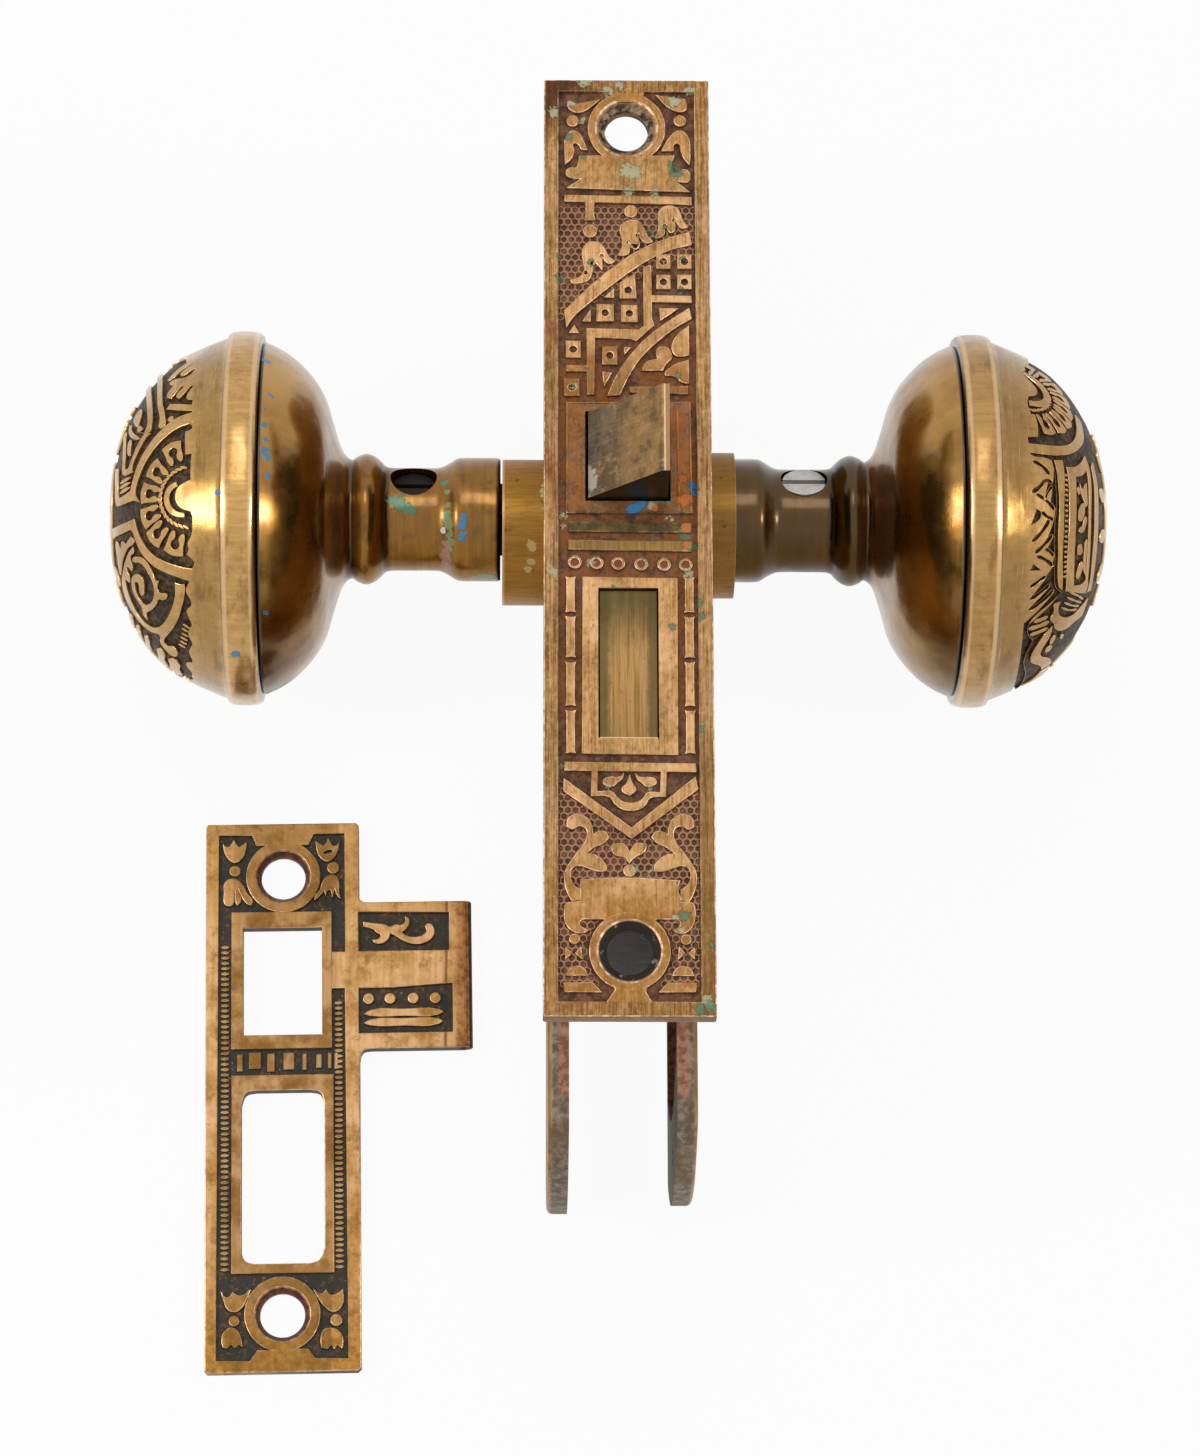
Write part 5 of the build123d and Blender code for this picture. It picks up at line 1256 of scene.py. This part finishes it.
tulip_low_right = drawn("""
    4.42,-30.2| 5.86,-31.05 6.5,-30.4| 7.16,-31.22 7.88,-31.23 9.04,-30.4| 9.18,-31.69 8.74,-33.29
    7.73,-33.94 6.58,-33.4 5.28,-31.77""")
lotus_low_right = drawn("""
    5.69,-39.36| 5.7,-37.47 6.13,-36.6 7.29,-36.33 8.58,-36.93 9.09,-38.1 8.91,-39.56| 8.14,-39|
    7.7,-39.68| 7.27,-39| 6.7,-39.58|""")
lip_scroll = drawn("""
    12.41,27| 14.04,26.75 15.81,26.5 16.69,26.15 17.43,26.5 18.2,26.4 18.95,27 18.9,27.7|
    19.45,27.5 19.6,26.6 19.1,25.7 18.5,25.2| 19.1,24.7 20.5,24.45 21.7,24.8 22.2,25.4 21.95,26.1|
    22.46,26.6 23.26,26.15 23.48,25.1 22.88,24 21.69,23.4 20.2,23.3 18.7,23.8 17.3,24.7 16.7,25|
    16.3,24.1 15.4,23.5 14.1,23.6 13.8,24.1| 14.7,24.2 15.1,24.8 14.5,25.2 14,25.7 12.5,26.2|""")
boat_high = drawn("""
    12.4,12.3| 13.6,12.95 18.6,13.05 23.9,12.95 24.8,12.5| 23.9,12 18.6,11.9 13.6,11.95""")
boat_low = drawn("""
    12.4,10.85| 13.6,11.45 18.6,11.55 23.9,11.45 24.7,11| 23.9,10.5 18.6,10.35 13.6,10.45""")
strike_windows = [
    drawn("""
        -9.8,41.1| -4.7,41| -4.1,39.4| 4,39.4| 4.9,41.15| 9.6,41.2| 9.6,22.25| 7.5,22.25|
        7.5,16.4| 9.55,16.4| 9.8,-41| 4.9,-40.9| 3.8,-39.4| -3.9,-39.6| -5,-41.2| -10.1,-41.1|"""),
    drawn("11.75,28.5| 25.7,28.3| 25.65,22.3| 11.75,22.3|"),
    drawn("11.75,16.35| 17,16.4| 22,16.75| 26.15,17| 26.1,9.3| 11.75,9.3|"),
]


def strike_figure(outlines, drop, edge=0.12):
    """A figure on the strike's ground, with its top this far under the border's."""
    return flat_shape(outlines, strike_foot, strike_top - drop, edge)


strike_slab = [strike_outline, strike_latch_hole, strike_bolt_hole]
strike_sink = drawn("0,4.8 0,3.4 0.2,3.42 1.06,4.16 1.1,4.8 0,4.8")
strike_shapes = [
    plate(strike_slab, strike_screws, 3.42, 0.02, 1.25, 0.06),
    plate(strike_slab, strike_screws, 4.7, 1.2, strike_floor, 0.03),
    flat_shape([strike_outline, *strike_windows], 1.5, strike_top - 0.005, 0.16),
]
for x, y in strike_screws:
    ring = [round_line(x, y, 5.75, 16), round_line(x, y, 4.2, 16)]
    strike_shapes += [
        flat_shape(ring, 1.3, strike_top, 0.12),
        turned(strike_sink, (x, y, 1.22), (0, 0, 1), 64),
    ]
strike_raised = [
    [box_line(-7.9, 7.0, 7.6, 28.75), strike_latch_hole],
    [box_line(-7.85, -27.9, 7.8, 2.9), strike_bolt_hole],
    [tulip_left],
    [mirrored(tulip_left, -0.2), oval(7.1, 38.3, 1.4, 0.5, 15)],
    [round_line(-7.36, 35.37, 0.86, 8)], [round_line(7.85, 35.7, 0.92, 8)],
    [lotus_left], [lotus_right], [tulip_low_left], [lotus_low_left], [tulip_low_right],
    [lotus_low_right], [round_line(-7.4, -35.12, 0.8, 8)], [round_line(8.05, -35.2, 0.9, 8)],
    [lip_scroll], [boat_high], [boat_low],
    *[[round_line(x, 14.7, 0.85, 8)] for x in (13.22, 16.52, 20.08, 23.5)],
]
for place, outlines in enumerate(strike_raised):
    strike_shapes.append(strike_figure(outlines, 0.012 + 0.006 * (place % 3)))
for x0, x1, y0, y1 in drawn("""
    -7,-6.1,3.5,6.2 -5.2,-3.3,3.9,6.5 -2.4,-1.2,3.4,6.3 0.1,1.8,3.7,6.4 3,3.7,3.6,6.2
    5.1,6,3.9,6.1 6.9,7.5,3.8,6.3 7.9,8.5,3.7,6.3"""):
    strike_shapes.append(strike_figure([box_line(x0, y0, x1, y1)], 0.16, 0.14))
for x, low, high in ((-8.85, -27.2, 24.4), (8.6, -27.0, 15.8)):
    for step in range(int((high - low) / bead_pitch)):
        bead = oval(x, low + step * bead_pitch, 1.35, 0.52, 0)
        strike_shapes.append(flat_shape([bead], 1.7, strike_top - 0.2, 0.1, 2))
lip_roll = drawn("0,0 0,0.95 0.15,1.1 23.1,1.1 23.25,0.95 23.25,0")
strike_shapes.append(turned(lip_roll, (28.08, 6.85, strike_top - 1.13), (0, 1, 0), 32))
strike = gathered("strike", strike_shapes)
strike.data.transform(Matrix.Translation(strike_place) @ Matrix.Rotation(strike_turn, 4, "Z"))
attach(strike, "case")
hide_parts("strike_plate")

strike_finish = Finish("strike_bronze")
strike_x, strike_y, strike_height = strike_finish.axes()
strike_up = strike_finish.axes("Normal")[2]
strike_brush = strike_finish.noise(1.5, 4.0, 0.65, (1, 0.06, 1)).rise(0.35, 0.68)
strike_blotch = strike_finish.noise(0.18, 5.0, 0.62, start=(5, 2, 1)).rise(0.42, 0.64)
strike_fine = strike_finish.noise(0.9, 4.0, 0.65, start=(1, 7, 3))
strike_smear = strike_finish.noise(0.3, 5.0, 0.7, start=(2, 2, 7))
strike_dust = strike_finish.noise(1.8, 3.0, 0.65, start=(4, 1, 1))
uneven_y = strike_y + strike_fine * 0.01
strike_ends = (uneven_y.fall(-0.098, -0.07) * 0.85).most(uneven_y.rise(-0.035, -0.022) * 0.5)
strike_rim = abs(strike_x + 0.0512).fall(0.0079, 0.0083)
strike_roll = strike_x.rise(-0.0252, -0.0242)
lip_fold = abs(strike_x + 0.02625).fall(1.5e-4, 3e-4)
strike_outer = abs(strike_y + 0.0612).rise(0.0428, 0.0430).most(strike_x.fall(-0.0634, -0.0628))
strike_sunk = strike_height.fall(0.00195, 0.0023) * (1 - strike_outer)
strike_sinks = strike_finish.flecks(
    drawn("-51.6,-26.8,2,4.8 -50.4,-95.4,2,4.8"), strike_finish.noise(0.01)
) * (strike_height < 0.00232)
# The top edges: rubbed lighter, and painted brighter as a highlight.
strike_edge_highlight = (
    strike_up.fall(0.9, 0.985) * strike_up.rise(0.05, 0.3) * strike_height.rise(0.0021, 0.00225)
)
strike_dark = strike_finish.coats(
    strike_finish.mix(strike_fine.rise(0.52, 0.72), "181C16", "6E4222"),
    (strike_dust.rise(0.64, 0.72) * 0.7, "A88660"),
)
wear(strike, strike_finish.close(
    Base_Color=strike_finish.coats(
        strike_finish.mix(strike_brush * 0.6, "C89E70", "A27840"),
        (strike_ends.most(strike_blotch * 0.7),
         strike_finish.mix(strike_fine.rise(0.35, 0.65), "7E5414", "AC7C2C")),
        (strike_smear.rise(0.52, 0.66) * 0.6, "77521E"),
        (strike_fine.rise(0.6, 0.75) * 0.6, "54381A"),
        (strike_rim * (0.4 + strike_blotch * 0.3), "6E4A1C"),
        (strike_roll * (0.5 + strike_smear * 0.6),
         strike_finish.mix(strike_fine.rise(0.4, 0.6), "6E3A1C", "96662E")),
        (lip_fold * 0.7, "52341A"),
        (strike_sunk * 0.96, strike_dark),
        (strike_sinks * 0.9,
         strike_finish.mix(strike_fine.rise(0.4, 0.65), "4A1A0A", "8A4A24")),
        (strike_edge_highlight * (0.3 + strike_fine.rise(0.4, 0.6) * 0.55), "EECBA2"),
    ),
    Metallic=0.85 - strike_sunk * 0.5,
    Roughness=0.4 + strike_sunk * 0.1 + strike_blotch * 0.06,
    Normal=strike_finish.bump(strike_finish.noise(2.0, 3.0, 0.6), 0.08, 0.25 + strike_sunk * 0.6),
))

# Door plates: cast bronze, hollow behind, each with the thimble that the shank turns in. The
# thimbles are rubbed golden. The lower ends are dull outside and still coppery in the hollow.
plate_finish = Finish("plate_bronze")
plate_x, plate_y = plate_finish.axes()[:2]
plate_side, _, plate_up = plate_finish.axes("Normal")
plate_reach = abs(plate_x)
plate_grit = plate_finish.noise(0.8, 4.0, 0.65, start=(4, 1, 4))
plate_cloud = plate_finish.noise(0.12, 4.0, 0.6, start=(2, 7, 3))
plate_brush = plate_finish.noise(2.4, 4.0, 0.6, (0.1, 1, 1), (3, 2, 6))
plate_long = plate_finish.noise(1.6, 4.0, 0.65, (1, 0.03, 1), (8, 1, 5))
outward = plate_side * plate_x
outer_face = (outward * 1000).rise(2.0, 7.0)
inner_face = outward < -0.001
in_hollow = inner_face * plate_reach.rise(0.0084, 0.0088)
rim_inner = plate_reach.fall(0.0093, 0.0095) * plate_up.rise(0.4, 0.6)
thimble = plate_reach.rise(0.0108, 0.0112)
thimble_lip = plate_reach.rise(0.01735, 0.0176)
plate_rubbed = thimble.most(outer_face)
face_tone = plate_finish.coats(
    plate_finish.mix(plate_long.rise(0.36, 0.64), "B28C58", "8A642E"),
    (plate_cloud.rise(0.44, 0.6) * 0.6, "6E4E22"),
    (plate_grit.rise(0.58, 0.7) * 0.5, "4E3A1E"),
)
thimble_tone = plate_finish.coats(
    plate_finish.mix(plate_brush.rise(0.3, 0.7) * 0.6, "A97A34", "7E5A28"),
    (plate_x.rise(0.0, 0.001) * 0.5, "6A4E26"),
    (plate_grit.rise(0.6, 0.72) * 0.6, "3E2A12"),
)
plate_tone, plate_paint = plate_finish.painted(
    plate_finish.coats(
        plate_finish.mix(plate_grit.rise(0.38, 0.66), "665848", "9C8C7C"),
        (plate_cloud.rise(0.45, 0.65) * 0.6, "7C6038"),
        (rim_inner * plate_y.rise(-0.0735, -0.0725),
         plate_finish.mix(plate_grit.rise(0.4, 0.6), "8A5C44", "B4866C")),
        (outer_face, face_tone),
        (inner_face, plate_finish.mix(plate_grit.rise(0.4, 0.7), "3A3018", "5E4C2C")),
        (in_hollow, plate_finish.mix(plate_grit.rise(0.35, 0.6), "8A5A42", "B88466")),
        (thimble, thimble_tone),
        (thimble_lip * 0.7, "D8A878"),
    ),
    plate_grit,
    (
        ("D2BE7E", drawn("""
            -13.6,15.1,38.5,0.8 -13.3,14.6,38.2,0.6 -13.45,12.9,36.9,0.7 -13.7,11.9,36.1,0.7""")),
        ("D8D490", [(-11.7, y, 39.45, 0.45) for y in (24.5, 23.5, 22.5, 21.5, 20.5, 19.4)]),
    ),
)
plate_material = plate_finish.close(
    Base_Color=plate_tone,
    Metallic=(0.6 + plate_rubbed * 0.32) * (1 - plate_paint * 0.95),
    Roughness=0.55 - plate_rubbed * 0.2 + plate_grit * 0.1,
    Normal=plate_finish.bump(
        plate_grit * (0.9 - plate_rubbed * 0.75) + plate_brush * 0.1, 0.25, 0.8
    ),
)
wear(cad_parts["left_escutcheon"], plate_material)
wear(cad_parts["right_escutcheon"], plate_material)

# Latch head: bronze, its slope rubbed by the strike in bands, with a bright tip and grey wear at
# the foot of the slope.
latch_finish = Finish("latch_bronze")
latch_x, latch_y = latch_finish.axes()[:2]
latch_side, _, latch_up = latch_finish.axes("Normal")
latch_grit = latch_finish.noise(0.9, 4.0, 0.65, start=(1, 2, 8))
latch_band = latch_finish.noise(0.35, 3.0, 0.5, (1, 0.12, 1), (2, 2, 2))
latch_scratch = latch_finish.noise(4.0, 3.0, 0.7, (0.05, 1, 0.05), (5, 2, 1))
latch_spots = latch_finish.noise(0.45, 4.0, 0.7, start=(3, 3, 6))
latch_worn = latch_finish.flecks(drawn("-5.4,7.2,86.6,1.6 -5.5,9,86.4,1.1"), latch_grit)
latch_tip = latch_x.rise(0.0048, 0.0050) * latch_up.rise(0.5, 0.9)
# Edges of the tip and the ends: rubbed lighter, and painted brighter as a highlight.
latch_edge_highlight = abs(latch_x - 0.0049).fall(5e-5, 1.6e-4).most(latch_x.rise(0.00585, 0.00595))
latch_edge_highlight = latch_edge_highlight.most(latch_y.fall(0.00532, 0.00546)) * latch_up.rise(0.3, 0.5)
latch_flank = abs(latch_side).most(latch_up).fall(0.2, 0.5)
wear(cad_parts["latch_head"], latch_finish.close(
    Base_Color=latch_finish.coats(
        latch_finish.mix(
            (latch_x + (latch_grit - 0.5) * 0.003).rise(-0.0045, 0.0015), "6E6252", "927044"
        ),
        (latch_band.rise(0.45, 0.58) * 0.65, "5E472A"),
        (latch_spots.rise(0.52, 0.64) * 0.6, "B08A58"),
        (latch_spots.fall(0.36, 0.48) * 0.6, "4A3E30"),
        (latch_scratch.rise(0.52, 0.7) * 0.4, "B09068"),
        (latch_worn * 0.8, "C9C2B4"),
        (latch_tip, "8E6C48"),
        (latch_edge_highlight * 0.55, "E4C4AC"),
        (latch_flank * 0.85, "2E2814"),
    ),
    Metallic=0.85,
    Roughness=0.34 + latch_grit * 0.14,
    Normal=latch_finish.bump(latch_scratch * 0.3 + latch_grit * 0.6, 0.2, 0.6),
))

# Dead bolt: head and tail are one bronze casting. The end is brushed along its height and olive
# at its two sides.
bolt_finish = Finish("dead_bolt_bronze")
bolt_x, bolt_y = bolt_finish.axes()[:2]
bolt_grit = bolt_finish.noise(0.9, 4.0, 0.65, start=(7, 2, 3))
bolt_brush = bolt_finish.noise(2.6, 4.0, 0.7, (1, 0.03, 1), (1, 6, 1))
bolt_side = (abs(bolt_x) + (bolt_grit - 0.5) * 0.0008).rise(0.0024, 0.0031)
wear(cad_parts["deadbolt"], bolt_finish.close(
    Base_Color=bolt_finish.coats(
        bolt_finish.mix(bolt_brush.rise(0.35, 0.65), "9A774A", "77592F"),
        (bolt_side * 0.8, "54472A"),
        (bolt_grit.rise(0.6, 0.75) * 0.5, "5A4426"),
        ((bolt_y + bolt_grit * 0.003).rise(-0.0165, -0.0075) * 0.8, "443C22"),
        # the end's lower edge: worn bright, and painted brighter as a highlight
        (bolt_y.fall(-0.02975, -0.0296), "E8C8A0"),
    ),
    Metallic=0.9,
    Roughness=0.36 + bolt_grit * 0.12,
    Normal=bolt_finish.bump(bolt_brush, 0.1, 0.5),
))

# Springs: the latch's coil stands between the case's post and the latch head, and the lever's
# strip is bent between the arm that it stands on and the cover post.
coil_turns = 6
coil_sides = 24
coil_steps = coil_turns * coil_sides
coil_x = 0.0008
coil_y = 0.0154
coil_foot = 0.047
coil_length = 0.0185
coil_radius = 0.0026
coil_line = bpy.data.curves.new("latch_coil", "CURVE")
coil_line.dimensions = "3D"
coil_line.bevel_depth = 0.00045
coil_line.bevel_resolution = 2
coil_line.use_fill_caps = True
coil_spline = coil_line.splines.new("POLY")
coil_spline.points.add(coil_steps)
for step, point in enumerate(coil_spline.points):
    turn = 2 * math.pi * step / coil_sides
    point.co = (
        coil_x + coil_radius * math.cos(turn), coil_y + coil_radius * math.sin(turn),
        coil_foot + coil_length * step / coil_steps, 1,
    )
take(placed("latch_coil", coil_line))
bpy.ops.object.convert(target="MESH")
coil = bpy.context.object
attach(coil, "case")
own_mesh(coil)
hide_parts("latch_spring")

strip_steps = 12
strip_points = []
for step in range(strip_steps + 1):
    rise = max(step - 1, 0) / (strip_steps - 1)
    strip_y = -4.55 + 1.9 * rise
    strip_z = 21.0 if step == 0 else 26.0 + 19.0 * rise
    for x, y in drawn("-2.3,0 -0.8,0 -0.8,0.5 -2.3,0.5"):
        strip_points.append((x / 1000, (strip_y + y) / 1000, strip_z / 1000))
strip_faces = [(3, 2, 1, 0), tuple(4 * strip_steps + k for k in range(4))]
for step in range(strip_steps):
    for k in range(4):
        low, high = 4 * step + k, 4 * step + (k + 1) % 4
        strip_faces.append((low, high, high + 4, low + 4))
strip_mesh = bpy.data.meshes.new("lever_strip")
strip_mesh.from_pydata(strip_points, [], strip_faces)
strip = placed("lever_strip", strip_mesh)
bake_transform(strip)
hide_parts("tumbler_spring")


def dull_metal(name, text, dirt_text, shine, rough):
    """A plain metal that is dull with old oil and dust."""
    made = Finish(name)
    dirt = made.noise(0.12, 6.0, 0.68, start=(2, 1, 5)).rise(0.44, 0.74)
    grain = made.noise(1.4, 4.0, 0.65, start=(6, 1, 2))
    return made.close(
        Base_Color=made.mix(dirt * 0.7, text, dirt_text),
        Metallic=shine - dirt * 0.3,
        Roughness=rough + grain * 0.2,
        Normal=made.bump(grain, 0.15, 0.6),
    )


spring_material = dull_metal("spring_steel", "8C8C8A", "4A3A2C", 1.0, 0.3)
wear(coil, spring_material)
wear(strip, spring_material)

# Case and works: black iron, brass lever and hub, steel screws and rivets. All are dull with
# old oil and dust, and the iron shows rust.
for node, *looks in (
    ("case_body", "282522", "5A3A24", 0.55, 0.55), ("case_cover", "282522", "5A3A24", 0.55, 0.55),
    ("spindle", "5A544C", "6A4428", 0.8, 0.45), ("hub", "A07A40", "4A3A20", 0.9, 0.38),
    ("latch_yoke", "4A443C", "6A4428", 0.7, 0.5), ("tumbler", "AA863E", "5A4420", 0.9, 0.36),
    ("cover_screw", "6A645C", "4A3424", 0.9, 0.38), ("front_rivets", "5A544E", "4A3424", 0.9, 0.42),
    ("latch_rivets", "7A7268", "4A3424", 0.9, 0.38), ("tumbler_pin", "6A645C", "4A3424", 0.9, 0.38),
    ("left_set_screw", "2A241C", "120E0A", 0.8, 0.5),
    ("right_set_screw", "C8C4C0", "4A443C", 0.9, 0.36),
):
    wear(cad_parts[node], dull_metal(node + "_finish", *looks))
